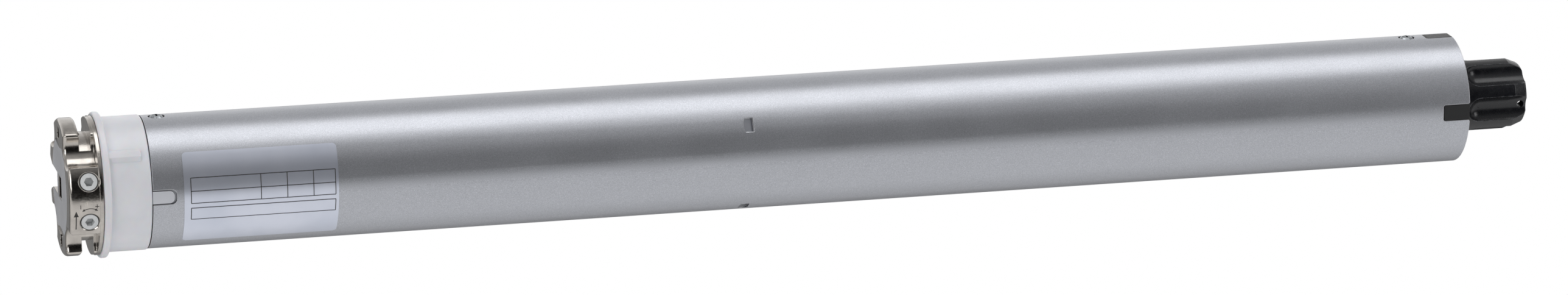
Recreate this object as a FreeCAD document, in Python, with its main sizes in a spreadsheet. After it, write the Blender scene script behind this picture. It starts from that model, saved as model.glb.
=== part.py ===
import FreeCAD, Part
import math
import os
import re

import Sketcher

# Tubular motor for a roller shutter.  The row's origin is the centre of the head's mounting face,
# +X runs along the motor's axis towards the output shaft, +Z is up and the block with the two
# adjusting screws faces -Y.  Bearings round the axis are measured from -Y towards +Z.

DIMENSIONS = (
    # motor tube
    ("tube_diameter", 58, "outside of the steel tube"),
    ("tube_wall", 1.5, "wall of the tube"),
    ("tube_start", 36.3, "head face to the tube's near rim"),
    ("tube_length", 598.2, "near rim to far rim"),
    ("spigot_clearance", 0.05, "radial gap of what slides into the tube"),
    ("slot_width", 6.5, "key slot in the near rim"),
    ("slot_depth", 10.4, "length of the key slot"),
    ("slot_corner", 2.3, "corner radius at the slot's end"),
    ("notch_width", 7.4, "notches in the far rim"),
    ("notch_depth", 12.6, "length of a far notch"),
    ("notch_round", 1, "corner radius of a notch and its key"),
    ("notch_count", 4, "notches round the far rim"),
    ("key_clearance", 0.2, "gap round a key in its notch"),
    ("near_screw_inset", 6.5, "near rim to its fixing screws"),
    ("far_screw_inset", 20.9, "far rim to its fixing screws"),
    ("tube_screw_hole", 7.5, "clearance hole of a fixing screw"),
    ("tube_screw_head", 6.2, "head of a fixing screw"),
    ("tube_screw_rise", 0.6, "head of a fixing screw above the tube"),
    ("cross_recess_length", 3.8, "cross recess of a fixing screw, tip to tip"),
    ("cross_recess_width", 0.9, "width of a slot of that recess"),
    ("cross_recess_depth", 1.4, "depth of that recess"),
    ("tube_screw_thread", 3.5, "thread of a fixing screw"),
    ("tube_screw_reach", 9, "length of a fixing screw below its head"),
    ("dent_length", 4.5, "crimp dent along the tube"),
    ("dent_width", 6.4, "crimp dent across"),
    ("dent_depth", 1.2, "crimp dent's depth"),
    ("dent_bearing", 30, "bearing of the first dent"),
    ("label_start", 13.5, "near rim to the rating film"),
    ("label_length", 67.5, "rating film along the tube"),
    ("label_top", 38, "bearing of the film's upper edge"),
    ("label_sweep", 88, "angle that the film covers"),
    ("label_corner", 2, "corner radius of the film"),
    ("label_film", 0.15, "thickness of the film"),
    ("label_bond", 0.03, "tube to the film"),
    # head casting
    ("head_diameter", 60, "lobes of the head"),
    ("head_depth", 14.9, "mounting face to the head's seat"),
    ("head_wall", 5, "front wall of the casting"),
    ("lobe_half_angle", 29.5, "half of a lobe's sweep"),
    ("scallop_floor", 45, "diameter over the scallops' floors"),
    ("rim_plate", 1.6, "thin round plate behind the lobes"),
    ("rim_plate_diameter", 60.6, "outside of that plate"),
    ("groove_start", 7, "mounting face to the groove"),
    ("groove_width", 5.1, "width of the groove"),
    ("groove_floor", 47.2, "diameter of the groove's floor"),
    ("groove_lip", 1.2, "round of the front lobes' rear edges"),
    ("face_round", 1.8, "round of the front edge"),
    ("lobe_round", 1.2, "round of a lobe's corners"),
    ("square_width", 10, "square hole for the bracket's pin"),
    ("square_depth", 12.5, "depth of the square hole"),
    ("boss_diameter", 18.6, "boss round the square hole"),
    ("fixing_pitch", 48, "spacing of the two threaded holes"),
    ("fixing_bore", 6, "threaded hole, at the thread's outside"),
    ("fixing_depth", 8.8, "depth of a threaded hole"),
    ("cable_notch_width", 10, "slot for the cable in the rear lobe"),
    ("cable_notch_floor", 6.8, "axis to the slot's floor"),
    ("cable_notch_wall", 2, "wall round the slot inside the head"),
    ("cable_mouth_width", 20, "the slot's mouth at the outside of the lobe"),
    ("cable_mouth_start", 21, "axis to where the slot starts to widen"),
    ("cavity_diameter", 39, "hollow behind the front wall"),
    ("journal_diameter", 52, "bearing surface of the limit ring"),
    ("journal_length", 12.3, "length of that surface"),
    ("journal_wall", 3, "wall of the journal"),
    ("plate_film", 0.4, "thickness of the face plate"),
    ("plate_diameter", 43, "face plate"),
    ("plate_relief_radius", 30, "shallow hollows beside the threaded holes"),
    ("plate_relief_floor", 18, "axis to a hollow's floor"),
    ("plate_gap", 0.2, "gap round the face plate"),
    ("head_screw_circle", 36, "circle of the head screws"),
    ("head_screw_bearing", 62, "bearing of the first head screw"),
    ("head_screw_thread", 3, "thread of a head screw"),
    ("head_screw_head", 5.6, "countersunk head of a head screw"),
    ("head_screw_clearance", 0.05, "radial gap round a head screw"),
    ("screw_boss", 6.2, "boss round a head screw"),
    # cable inlet
    ("inlet_width", 7.4, "width and height of the cable socket"),
    ("inlet_length", 12, "length of the socket"),
    ("inlet_centre", 13, "axis to the socket's centre"),
    ("inlet_cavity", 5.2, "opening of the socket"),
    ("inlet_cavity_depth", 7, "depth of the opening"),
    ("inlet_pin", 2.4, "contact pins above the opening's floor"),
    ("inlet_gap", 0.1, "gap round the socket"),
    # adjusting screws, setting spindles and switch carriages
    ("adjuster_x", 8.8, "mounting face to the adjusting screws"),
    ("adjuster_bearing", 17.5, "bearing of the upper adjusting screw"),
    ("adjuster_sink", 0.35, "head of the screw below the block's surface"),
    ("adjuster_head", 7.4, "head of an adjusting screw"),
    ("adjuster_head_depth", 3.4, "thickness of that head"),
    ("adjuster_stem", 4, "stem of an adjusting screw"),
    ("adjuster_socket", 3.6, "hexagon socket across flats"),
    ("adjuster_socket_depth", 3, "depth of the socket"),
    ("adjuster_clearance", 0.08, "radial gap round the stem"),
    ("counterbore", 7.9, "counterbore for the head"),
    ("counterbore_bevel", 0.7, "bevel round the counterbore"),
    ("setting_radius", 14.5, "axis to the setting spindles"),
    ("mitre_teeth", 10, "teeth of a mitre gear"),
    ("mitre_radius", 3.1, "pitch radius of a mitre gear"),
    ("mitre_face", 1.6, "face width of a mitre gear"),
    ("setting_diameter", 4, "setting spindle"),
    ("setting_journal", 3, "its end in the rear cover"),
    ("carriage_length", 12, "switch carriage along the axis"),
    ("carriage_outer", 18.5, "axis to the carriage's outer side"),
    ("carriage_inner", 1, "axis to the carriage's inner side"),
    ("carriage_height", 10.4, "height of a carriage"),
    ("carriage_split", 0.6, "mid plane to a carriage"),
    ("carriage_travel", 10, "setting range of a carriage"),
    ("carriage_end_gap", 2.4, "carriage to the housing's end walls"),
    ("guide_diameter", 3, "guide rods"),
    ("guide_offset", 6, "axis to the carriages' guide rods"),
    ("guide_height", 8.5, "mid plane to the carriages' guide rods"),
    ("switch_width", 6.4, "microswitch across"),
    ("switch_height", 9.6, "height of a microswitch"),
    ("plunger_diameter", 2, "plunger of a microswitch"),
    ("plunger_reach", 1.2, "plunger outside its switch"),
    ("plunger_hidden", 2, "plunger inside its switch"),
    ("running_gap", 0.05, "radial running clearance of spindles and pins"),
    ("slide_gap", 0.1, "gap of the small sliding pieces"),
    # limit ring and counting train
    ("ring_flange", 63.4, "collar of the limit ring"),
    ("ring_flange_width", 3.2, "width of the collar"),
    ("ring_diameter", 58.7, "body of the limit ring"),
    ("ring_tube_gap", 0.3, "gap between ring and tube"),
    ("ring_head_gap", 0.2, "gap between head and ring"),
    ("ring_running_gap", 0.08, "radial gap of the ring on its journal"),
    ("ring_edge", 1, "round of the ring's edges"),
    ("ring_rib_width", 2.6, "driving rib of the ring, across its top"),
    ("ring_rib_base", 5.8, "the rib across its foot"),
    ("ring_rib_height", 1.5, "height of that rib"),
    ("ring_rib_round", 0.8, "round of the rib's far end"),
    ("ring_rib_length", 14.2, "length of that rib behind the collar"),
    ("ring_rib_bearing", 38, "bearing of that rib"),
    ("ring_teeth", 40, "internal teeth of the limit ring"),
    ("ring_module", 1.2, "module of the counting train"),
    ("ring_teeth_width", 6, "width of the internal teeth"),
    ("pinion_teeth", 16, "teeth of the counting pinion"),
    ("pinion_width", 4.6, "face width of the counting pinion"),
    ("travel_diameter", 6, "threaded travel spindle"),
    ("travel_journal", 3, "its journals"),
    ("nut_length", 4, "travelling nut along the axis"),
    ("nut_half_width", 5, "half of the nut across its spindle"),
    ("nut_drop", 6.5, "nut below its spindle"),
    ("nut_ear", 13.5, "nut above its spindle, round the guide rod"),
    ("nut_guide_height", 10.5, "spindle to the nut's guide rod"),
    ("nut_arm_end", 1.5, "axis to the end of the nut's arm"),
    ("nut_arm_half", 6, "half height of the arm"),
    # limit switch housing
    ("neck_diameter", 44, "neck inside the limit ring"),
    ("neck_wall", 2.5, "wall of the neck"),
    ("end_wall", 2.5, "end walls of the limit housing"),
    ("housing_wall", 2.2, "wall of the part in the tube"),
    ("housing_length", 100, "length in the tube"),
    ("cover_thickness", 3, "rear cover of the limit housing"),
    ("cover_lip", 2, "lip of the cover"),
    ("cover_lip_wall", 1.2, "wall of that lip"),
    ("cover_wire_hole", 5, "hole for the leads"),
    ("tab_width", 5.5, "key tab in the tube's slot"),
    ("tab_length", 9.4, "near rim to the tab's end"),
    ("tab_sink", 0.15, "tab below the tube's surface"),
    # capacitor
    ("capacitor_gap", 22, "limit housing to the capacitor"),
    ("capacitor_diameter", 40, "run capacitor"),
    ("wiring_room", 47.2, "capacitor's cradle to the motor"),
    ("capacitor_edge", 2, "chamfer of the can"),
    ("terminal_width", 6.3, "tab terminals"),
    ("terminal_length", 8, "length of a terminal"),
    ("terminal_thickness", 0.8, "thickness of a terminal"),
    ("terminal_spacing", 14, "spacing of the terminals"),
    ("cradle_wall", 2, "plastic cradle of the capacitor"),
    ("cradle_overlap", 4, "cradle past the capacitor's ends"),
    # induction motor
    ("shield_thickness", 14, "end shields"),
    ("shield_wall", 4, "web of an end shield"),
    ("shield_rim", 4, "rim of an end shield"),
    ("shield_vent", 7, "holes through an end shield"),
    ("dent_seat", 6.5, "shield face to the crimp dents"),
    ("dent_groove", 1.4, "depth of the crimping groove"),
    ("winding_reach", 12, "end turns past the stack"),
    ("winding_gap", 2, "end turns to an end shield"),
    ("winding_bulge", 1.5, "end turns outside the slots' floors"),
    ("stack_length", 115, "laminated stack"),
    ("stator_bore", 29, "bore of the stack"),
    ("slot_count", 12, "slots of the stack"),
    ("slot_mouth", 2.4, "mouth of a stator slot"),
    ("slot_body", 5, "width of a stator slot"),
    ("slot_lip", 1.2, "tooth tip above a slot"),
    ("slot_floor", 21.5, "axis to a slot's floor"),
    ("winding_gap_in_slot", 0.15, "liner between coil and slot"),
    ("air_gap", 0.35, "rotor to stator"),
    ("cage_ring", 5, "end rings of the rotor cage"),
    ("cage_ring_bore", 18, "bore of an end ring"),
    ("cage_ring_step", 0.5, "end ring below the core's surface"),
    ("shaft_diameter", 9, "rotor shaft in the stack"),
    ("shaft_journal", 8, "rotor shaft in its bushes"),
    ("shaft_pinion_seat", 5, "rotor shaft in the first sun gear"),
    ("bush_wall", 2.5, "sintered bushes"),
    ("bush_length", 9, "length of a bush"),
    ("bush_seat_wall", 3, "wall round a bush"),
    # brake
    ("yoke_length", 22, "brake magnet"),
    ("yoke_web", 4, "web of the magnet"),
    ("yoke_rim", 5.5, "outer pole of the magnet"),
    ("yoke_pole", 26, "outside of the inner pole"),
    ("yoke_bore", 18, "bore of the magnet"),
    ("coil_gap", 0.3, "gap round the brake coil"),
    ("armature_gap", 0.8, "stroke space of the armature"),
    ("armature_thickness", 3.2, "armature plate"),
    ("armature_side_gap", 0.5, "radial gap round the armature"),
    ("brake_clearance", 0.25, "gap beside the friction disc"),
    ("brake_disc_thickness", 3, "friction disc"),
    ("brake_disc_gap", 4, "friction disc to the guide pins"),
    ("brake_hub_wall", 3, "wall of the friction disc's hub"),
    ("spring_thickness", 0.5, "disc spring"),
    ("spring_height", 2.4, "room of the disc spring above the coil"),
    ("brake_pin", 2.4, "guide pins of the armature"),
    ("brake_pin_count", 3, "guide pins"),
    # planetary gearbox
    ("ring_gear_wall", 4.35, "ring gear's tooth roots to its outside"),
    ("sun_teeth", 10, "teeth of a sun gear"),
    ("planet_teeth", 17, "teeth of a planet gear"),
    ("planet_count", 3, "planets in a stage"),
    ("tooth_share", 0.7, "tooth thickness as a share of half the pitch"),
    ("addendum", 0.8, "tooth tip above the pitch circle, in modules"),
    ("dedendum", 1.1, "tooth root below the pitch circle, in modules"),
    ("pressure_angle", 20, "pressure angle"),
    ("stage_1_width", 12, "face width of the first stage"),
    ("stage_2_width", 20, "face width of the second stage"),
    ("stage_3_width", 34, "face width of the output stage"),
    ("axial_gap", 1, "gaps beside gears and carriers"),
    ("carrier_thickness", 5, "planet carriers"),
    ("output_carrier_thickness", 8, "output carrier"),
    ("carrier_gap", 1.7, "carriers inside the ring gear's tooth tips"),
    ("planet_pin", 6.4, "planet pins"),
    ("front_plate", 4, "front plate of the gearbox"),
    ("front_plate_bore", 14, "bore of the front plate"),
    ("hexagon_gap", 0.5, "planet pins to the corners of the output shaft's hexagon"),
    # output end
    ("cap_length", 34.3, "gearbox end cap"),
    ("cap_inset", 0.2, "end cap inside the far rim"),
    ("cap_relief", 6, "room for the retaining ring"),
    ("cap_front", 3, "front wall of the end cap"),
    ("seal_gap", 0.6, "radial gap between that wall and the shaft"),
    ("bearing_outer", 28, "output bearing"),
    ("output_journal", 22, "output shaft in its bearing"),
    ("bearing_length", 27, "length of the output bearing"),
    ("ring_groove", 1.2, "retaining ring"),
    ("ring_groove_depth", 1, "groove of the retaining ring"),
    ("retaining_ring_diameter", 26, "outside of the retaining ring"),
    ("retaining_ring_opening", 4, "opening of the retaining ring"),
    ("output_gap", 0.3, "far rim to the drive head"),
    ("output_reach", 32.8, "far rim to the end of the drive head"),
    ("output_diameter", 33, "lobes of the drive head"),
    ("output_lobes", 6, "lobes of the drive head"),
    ("valley_floor", 24, "diameter over the valleys' floors"),
    ("valley_mouth_width", 11.5, "width of a valley's mouth"),
    ("valley_centre", 10, "base of the drive head to the centre of a valley's round end"),
    ("lobe_chamfer_length", 6.4, "taper of the lobes' ends"),
    ("lobe_chamfer_depth", 2.2, "depth of that taper"),
    ("lobe_end_round", 1.2, "round of the lobes' ends past the taper"),
    ("output_bore", 15, "hollow end of the drive head"),
    ("output_bore_depth", 24, "depth of the hollow end"),
    ("cross_hole", 3.4, "locking screw hole in a valley"),
    ("cross_hole_inset", 2.6, "end of the drive head to that hole"),
    ("output_bearing_angle", 18.5, "bearing of the first lobe"),
)

doc = FreeCAD.newDocument("TubularMotor")
sheet = doc.addObject("Spreadsheet::Sheet", "Sizes")
for row, (alias, value, note) in enumerate(DIMENSIONS, start=1):
    sheet.set(f"A{row}", alias)
    sheet.set(f"B{row}", str(value))
    sheet.set(f"C{row}", note)
    sheet.setAlias(f"B{row}", alias)
doc.recompute()

NAMES = {alias for alias, value, note in DIMENSIONS}
SUB_PARTS = []


# ---------------------------------------------------------------- expressions and sketches

def formula(text):
    """Spell the named dimensions in text as cells of the sheet."""
    def cell(match):
        word = match.group()
        return "Sizes." + word if word in NAMES else word
    return re.sub(r"[a-z][a-z_0-9]*", cell, str(text))


def size(text):
    """The value that a formula has now."""
    return float(sheet.evalExpression(str(text)))


def bind(item, name, text):
    """Tie a property to a formula."""
    item.setExpression(name, formula(text))


def listed(item, label):
    """Make an object one of the sub-parts that are written to files."""
    item.Label = label
    SUB_PARTS.append(item)
    return item


def new_body(label, is_sub_part=True):
    body = doc.addObject("PartDesign::Body", label)
    if is_sub_part:
        listed(body, label)
    return body


def origin_feature(body, role):
    for feature in body.Origin.OriginFeatures:
        if feature.Role == role:
            return feature
    raise ValueError(role)


def new_sketch(body, role, offset="0"):
    """A sketch on one of the body's own planes, moved along the plane's normal by offset."""
    sketch = body.newObject("Sketcher::SketchObject", "sketch")
    sketch.AttachmentSupport = [(origin_feature(body, role), "")]
    sketch.MapMode = "FlatFace"
    bind(sketch, "AttachmentOffset.Base.z", offset)
    return sketch


def pin_point(sketch, geometry, vertex, x, y):
    """Hold a vertex of a sketch at two formulas."""
    for kind, text in (("DistanceX", x), ("DistanceY", y)):
        index = sketch.addConstraint(Sketcher.Constraint(kind, -1, 1, geometry, vertex, size(text)))
        bind(sketch, f"Constraints[{index}]", text)


def outline(sketch, corners):
    """A closed outline of straight lines through corners, each a pair of formulas."""
    first = len(sketch.Geometry)
    places = [FreeCAD.Vector(size(x), size(y), 0) for x, y in corners]
    count = len(places)
    for step in range(count):
        sketch.addGeometry(Part.LineSegment(places[step], places[(step + 1) % count]), False)
    for step in range(count):
        following = first + (step + 1) % count
        sketch.addConstraint(Sketcher.Constraint("Coincident", first + step, 2, following, 1))
    for step, (x, y) in enumerate(corners):
        pin_point(sketch, first + step, 1, x, y)


def circle(sketch, radius, x="0", y="0"):
    """A circle of a formula's radius, centred at two formulas."""
    centre = FreeCAD.Vector(size(x), size(y), 0)
    geometry = sketch.addGeometry(Part.Circle(centre, FreeCAD.Vector(0, 0, 1), size(radius)), False)
    pin_point(sketch, geometry, 3, x, y)
    index = sketch.addConstraint(Sketcher.Constraint("Radius", geometry, size(radius)))
    bind(sketch, f"Constraints[{index}]", radius)


def rectangle(sketch, left, bottom, right, top):
    outline(sketch, ((left, bottom), (right, bottom), (right, top), (left, top)))


def hexagon(sketch, across_flats, turned_by="0"):
    corners = []
    for step in range(6):
        turn = f"({60 * step + 30} + {turned_by})"
        reach = f"({across_flats}) / 2 / cos(30)"
        corners.append((f"{reach} * cos{turn}", f"{reach} * sin{turn}"))
    outline(sketch, corners)


# ---------------------------------------------------------------- features

def pad(body, sketch, length):
    feature = body.newObject("PartDesign::Pad", "pad")
    feature.Profile = sketch
    bind(feature, "Length", length)
    return feature


def pocket(body, sketch, length):
    """Cut along the sketch plane's normal."""
    feature = body.newObject("PartDesign::Pocket", "pocket")
    feature.Profile = sketch
    feature.Reversed = True
    bind(feature, "Length", length)
    return feature


def revolve(body, corners):
    """Turn an outline in the XY plane round the X axis."""
    sketch = new_sketch(body, "XY_Plane")
    outline(sketch, corners)
    feature = body.newObject("PartDesign::Revolution", "turned")
    feature.Profile = sketch
    feature.ReferenceAxis = (sketch, ["H_Axis"])
    feature.Angle = 360
    return feature


def turn_groove(body, corners, sweep="360"):
    """Cut an outline round the X axis; a part turn is centred on +Y."""
    sketch = new_sketch(body, "XY_Plane")
    outline(sketch, corners)
    feature = body.newObject("PartDesign::Groove", "groove")
    feature.Profile = sketch
    feature.ReferenceAxis = (sketch, ["H_Axis"])
    feature.Midplane = True
    bind(feature, "Angle", sweep)
    return feature


def repeat(body, features, count):
    """Repeat a feature, or several, round the X axis."""
    pattern = body.newObject("PartDesign::PolarPattern", "pattern")
    pattern.Originals = features if isinstance(features, list) else [features]
    pattern.Axis = (origin_feature(body, "X_Axis"), [""])
    pattern.Angle = 360
    bind(pattern, "Occurrences", count)
    body.Tip = pattern
    return pattern


def round_edges(body, radius, chosen):
    """Round the edges of the body's tip that chosen() picks."""
    doc.recompute()
    base = body.Tip
    names = [f"Edge{step}" for step, edge in enumerate(base.Shape.Edges, start=1) if chosen(edge)]
    fillet = body.newObject("PartDesign::Fillet", "round")
    fillet.Base = (base, names)
    bind(fillet, "Radius", radius)
    return fillet


def circle_at(x, radius):
    """Picks circular edges round the X axis at a place and a radius."""
    def chosen(edge):
        curve = edge.Curve
        if not isinstance(curve, Part.Circle):
            return False
        near = abs(curve.Center.x - size(x)) < 0.01
        return near and abs(curve.Radius - size(radius)) < 0.01
    return chosen


def square_to_axis(*places):
    """Picks straight edges that stand square to the X axis at one of some places along it."""
    def chosen(edge):
        if not isinstance(edge.Curve, Part.Line) or abs(edge.tangentAt(edge.FirstParameter).x) > 1e-6:
            return False
        return any(abs(edge.CenterOfMass.x - size(x)) < 0.01 for x in places)
    return chosen


def across(bearing, radius):
    """Y and Z of a point at a bearing and a radius, as formulas."""
    return f"-({radius}) * cos({bearing})", f"({radius}) * sin({bearing})"


def bore(body, x, y, z, radius, length):
    """Cut a cylinder that runs towards +X."""
    sketch = new_sketch(body, "YZ_Plane", x)
    circle(sketch, radius, y, z)
    return pocket(body, sketch, length)


def radial_bore(body, x, bearing, inner, outer, radius):
    """Cut a cylinder that points away from the X axis."""
    cut = body.newObject("PartDesign::SubtractiveCylinder", "radial")
    cut.Placement.Rotation = FreeCAD.Rotation(FreeCAD.Vector(1, 0, 0), 90 - size(bearing))
    y, z = across(bearing, inner)
    bind(cut, "Radius", radius)
    bind(cut, "Height", f"({outer}) - ({inner})")
    bind(cut, "Placement.Base.x", x)
    bind(cut, "Placement.Base.y", y)
    bind(cut, "Placement.Base.z", z)
    bind(cut, "Placement.Rotation.Angle", f"90 - ({bearing})")
    return cut


def radial_bevel(body, x, bearing, inner, outer, radius):
    """Cut a cone of 45 degrees that opens away from the X axis."""
    cut = body.newObject("PartDesign::SubtractiveCone", "bevel")
    cut.Placement.Rotation = FreeCAD.Rotation(FreeCAD.Vector(1, 0, 0), 90 - size(bearing))
    y, z = across(bearing, inner)
    bind(cut, "Radius1", radius)
    bind(cut, "Radius2", f"({radius}) + ({outer}) - ({inner})")
    bind(cut, "Height", f"({outer}) - ({inner})")
    bind(cut, "Placement.Base.x", x)
    bind(cut, "Placement.Base.y", y)
    bind(cut, "Placement.Base.z", z)
    bind(cut, "Placement.Rotation.Angle", f"90 - ({bearing})")
    return cut


def block(body, low, high, subtractive=False):
    """Add or cut a box between two corners, each three formulas."""
    kind = "SubtractiveBox" if subtractive else "AdditiveBox"
    box = body.newObject("PartDesign::" + kind, "block")
    for axis, side, start, end in zip("xyz", ("Length", "Width", "Height"), low, high):
        bind(box, side, f"({end}) - ({start})")
        bind(box, f"Placement.Base.{axis}", start)
    return box


def rod(label, x, y, z, radius, length, is_sub_part=True):
    """A plain cylinder that runs towards +X."""
    cylinder = doc.addObject("Part::Cylinder", label)
    cylinder.Placement.Rotation = FreeCAD.Rotation(FreeCAD.Vector(0, 1, 0), 90)
    bind(cylinder, "Radius", radius)
    bind(cylinder, "Height", length)
    bind(cylinder, "Placement.Base.x", x)
    bind(cylinder, "Placement.Base.y", y)
    bind(cylinder, "Placement.Base.z", z)
    if is_sub_part:
        listed(cylinder, label)
    return cylinder


def group(label, members):
    """Identical pieces that stay separate solids of one sub-part."""
    compound = doc.addObject("Part::Compound", label)
    compound.Links = members
    return listed(compound, label)


# ---------------------------------------------------------------- gears

HALF_PITCH_GAP = "(pi * {module} / 2 * (2 - tooth_share) / 2)"


def gap_corners(teeth, module, internal):
    """Corners of one tooth gap, centred on the sketch's Y axis."""
    pitch_radius = f"({teeth} * {module} / 2)"
    half_gap = HALF_PITCH_GAP.format(module=module)
    if internal:
        slope = f"(0 - tan(pressure_angle - 90 / {teeth}))"
        near = f"({pitch_radius} - (addendum + 0.4) * {module})"
        far = f"({pitch_radius} + dedendum * {module})"
    else:
        slope = f"tan(pressure_angle + 90 / {teeth})"
        near = f"({pitch_radius} - dedendum * {module})"
        far = f"({pitch_radius} + (addendum + 0.4) * {module})"
    near_half = f"({half_gap} + ({near} - {pitch_radius}) * {slope})"
    far_half = f"({half_gap} + ({far} - {pitch_radius}) * {slope})"
    return (
        (f"0 - {near_half}", near),
        (near_half, near),
        (far_half, far),
        (f"0 - {far_half}", far),
    )


def cut_teeth(body, start, width, teeth, module, internal=False):
    """Cut tooth gaps round the X axis, the first one centred on +Z."""
    sketch = new_sketch(body, "YZ_Plane", start)
    outline(sketch, gap_corners(teeth, module, internal))
    return repeat(body, pocket(body, sketch, width), teeth)


def tip_radius(teeth, module):
    return f"({teeth} * {module} / 2 + addendum * {module})"


def root_radius(teeth, module):
    return f"({teeth} * {module} / 2 - dedendum * {module})"


# ---------------------------------------------------------------- places along the axis

TUBE_RADIUS = "(tube_diameter / 2)"
TUBE_BORE = "(tube_diameter / 2 - tube_wall)"
SPIGOT = "(tube_diameter / 2 - tube_wall - spigot_clearance)"
TUBE_END = "(tube_start + tube_length)"

HEAD_SEAT = "(head_depth + journal_length)"
GROOVE_END = "(groove_start + groove_width)"
RING_START = "(head_depth + ring_head_gap)"
RING_END = "(tube_start - ring_tube_gap)"
CHAMBER_START = f"({HEAD_SEAT} + end_wall)"
CHAMBER_END = "(tube_start - ring_head_gap)"
SHAFT_WALL_END = "(tube_start + end_wall)"
HOUSING_END = "(tube_start + housing_length)"
COVER_END = "(tube_start + housing_length + cover_thickness)"
SETTING_START = "(adjuster_x + mitre_radius)"

COUNTING_CENTRE = "((ring_teeth - pinion_teeth) * ring_module / 2)"
PINION_START = f"({CHAMBER_START} + axial_gap / 2)"

LOWER_CARRIAGE = f"({SHAFT_WALL_END} + carriage_end_gap)"
UPPER_CARRIAGE = f"({HOUSING_END} - cover_lip - carriage_end_gap - carriage_length)"
PLUNGER_LOW = f"({LOWER_CARRIAGE} + carriage_length + plunger_reach)"
PLUNGER_HIGH = f"({UPPER_CARRIAGE} - plunger_reach)"
NUT_START = f"(({PLUNGER_LOW} + {PLUNGER_HIGH} - nut_length) / 2)"


CAP_START = f"({TUBE_END} - cap_inset - cap_length)"
OUTPUT_CARRIER = f"({CAP_START} - cap_relief - output_carrier_thickness)"
STAGE_3 = f"({OUTPUT_CARRIER} - axial_gap - stage_3_width)"
CARRIER_2 = f"({STAGE_3} - 2 * axial_gap - carrier_thickness)"
STAGE_2 = f"({CARRIER_2} - axial_gap - stage_2_width)"
CARRIER_1 = f"({STAGE_2} - 2 * axial_gap - carrier_thickness)"
STAGE_1 = f"({CARRIER_1} - axial_gap - stage_1_width)"
FRONT_PLATE = f"({STAGE_1} - 2 * axial_gap - front_plate)"

BRAKE_DISC = f"({FRONT_PLATE} - brake_clearance - brake_disc_thickness)"
ARMATURE = f"({BRAKE_DISC} - brake_clearance - armature_thickness)"
YOKE_END = f"({ARMATURE} - armature_gap)"
YOKE_START = f"({YOKE_END} - yoke_length)"
FRONT_SHIELD = f"({YOKE_START} - shield_thickness)"
STACK_END = f"({FRONT_SHIELD} - winding_gap - winding_reach)"
STACK_START = f"({STACK_END} - stack_length)"
REAR_SHIELD = f"({STACK_START} - winding_reach - winding_gap - shield_thickness)"
REAR_SHIELD_END = f"({REAR_SHIELD} + shield_thickness)"
DENTS = f"({REAR_SHIELD} + dent_seat)"

CAPACITOR_START = f"({COVER_END} + capacitor_gap)"
CAPACITOR_END = f"({REAR_SHIELD} - wiring_room - cradle_overlap)"

# the brake's guide pins stand in the outer pole of its magnet
BRAKE_PIN_ORBIT = f"({SPIGOT} - yoke_rim / 2)"

# the gears are as large as the tube allows
RING_GEAR_TEETH = "(sun_teeth + 2 * planet_teeth)"
GEAR_MODULE = f"(({SPIGOT} - ring_gear_wall) / ({RING_GEAR_TEETH} / 2 + dedendum))"
PLANET_ORBIT = f"((sun_teeth + planet_teeth) * {GEAR_MODULE} / 2)"
RING_GEAR_TIP = f"(({RING_GEAR_TEETH} / 2 - addendum) * {GEAR_MODULE})"
CARRIER_RADIUS = f"({RING_GEAR_TIP} - carrier_gap)"
SHAFT_HEXAGON = f"(2 * ({PLANET_ORBIT} - planet_pin / 2 - hexagon_gap) * cos(30))"
# the drive head is drawn with a valley at the top, half a pitch from a lobe
OUTPUT_TURN = "(90 - output_bearing_angle + 180 / output_lobes)"


# ---------------------------------------------------------------- head

HEAD_RADIUS = "(head_diameter / 2)"
LOBED_DEPTH = "(head_depth - rim_plate)"
SCREW_BEARINGS = (
    "head_screw_bearing",
    "(180 - head_screw_bearing)",
    "(180 + head_screw_bearing)",
    "(360 - head_screw_bearing)",
)
# a scallop is a round cut through both edges of its gap and its floor
GAP_HALF = "(45 - lobe_half_angle)"
GAP_DEPTH = f"(head_diameter / 2 * cos({GAP_HALF}) - scallop_floor / 2)"
GAP_REACH = f"(head_diameter / 2 * sin({GAP_HALF}))"
SCALLOP_RADIUS = f"(({GAP_DEPTH} * {GAP_DEPTH} + {GAP_REACH} * {GAP_REACH}) / 2 / {GAP_DEPTH})"
SCALLOP_CENTRE = f"(scallop_floor / 2 + {SCALLOP_RADIUS})"


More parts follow.
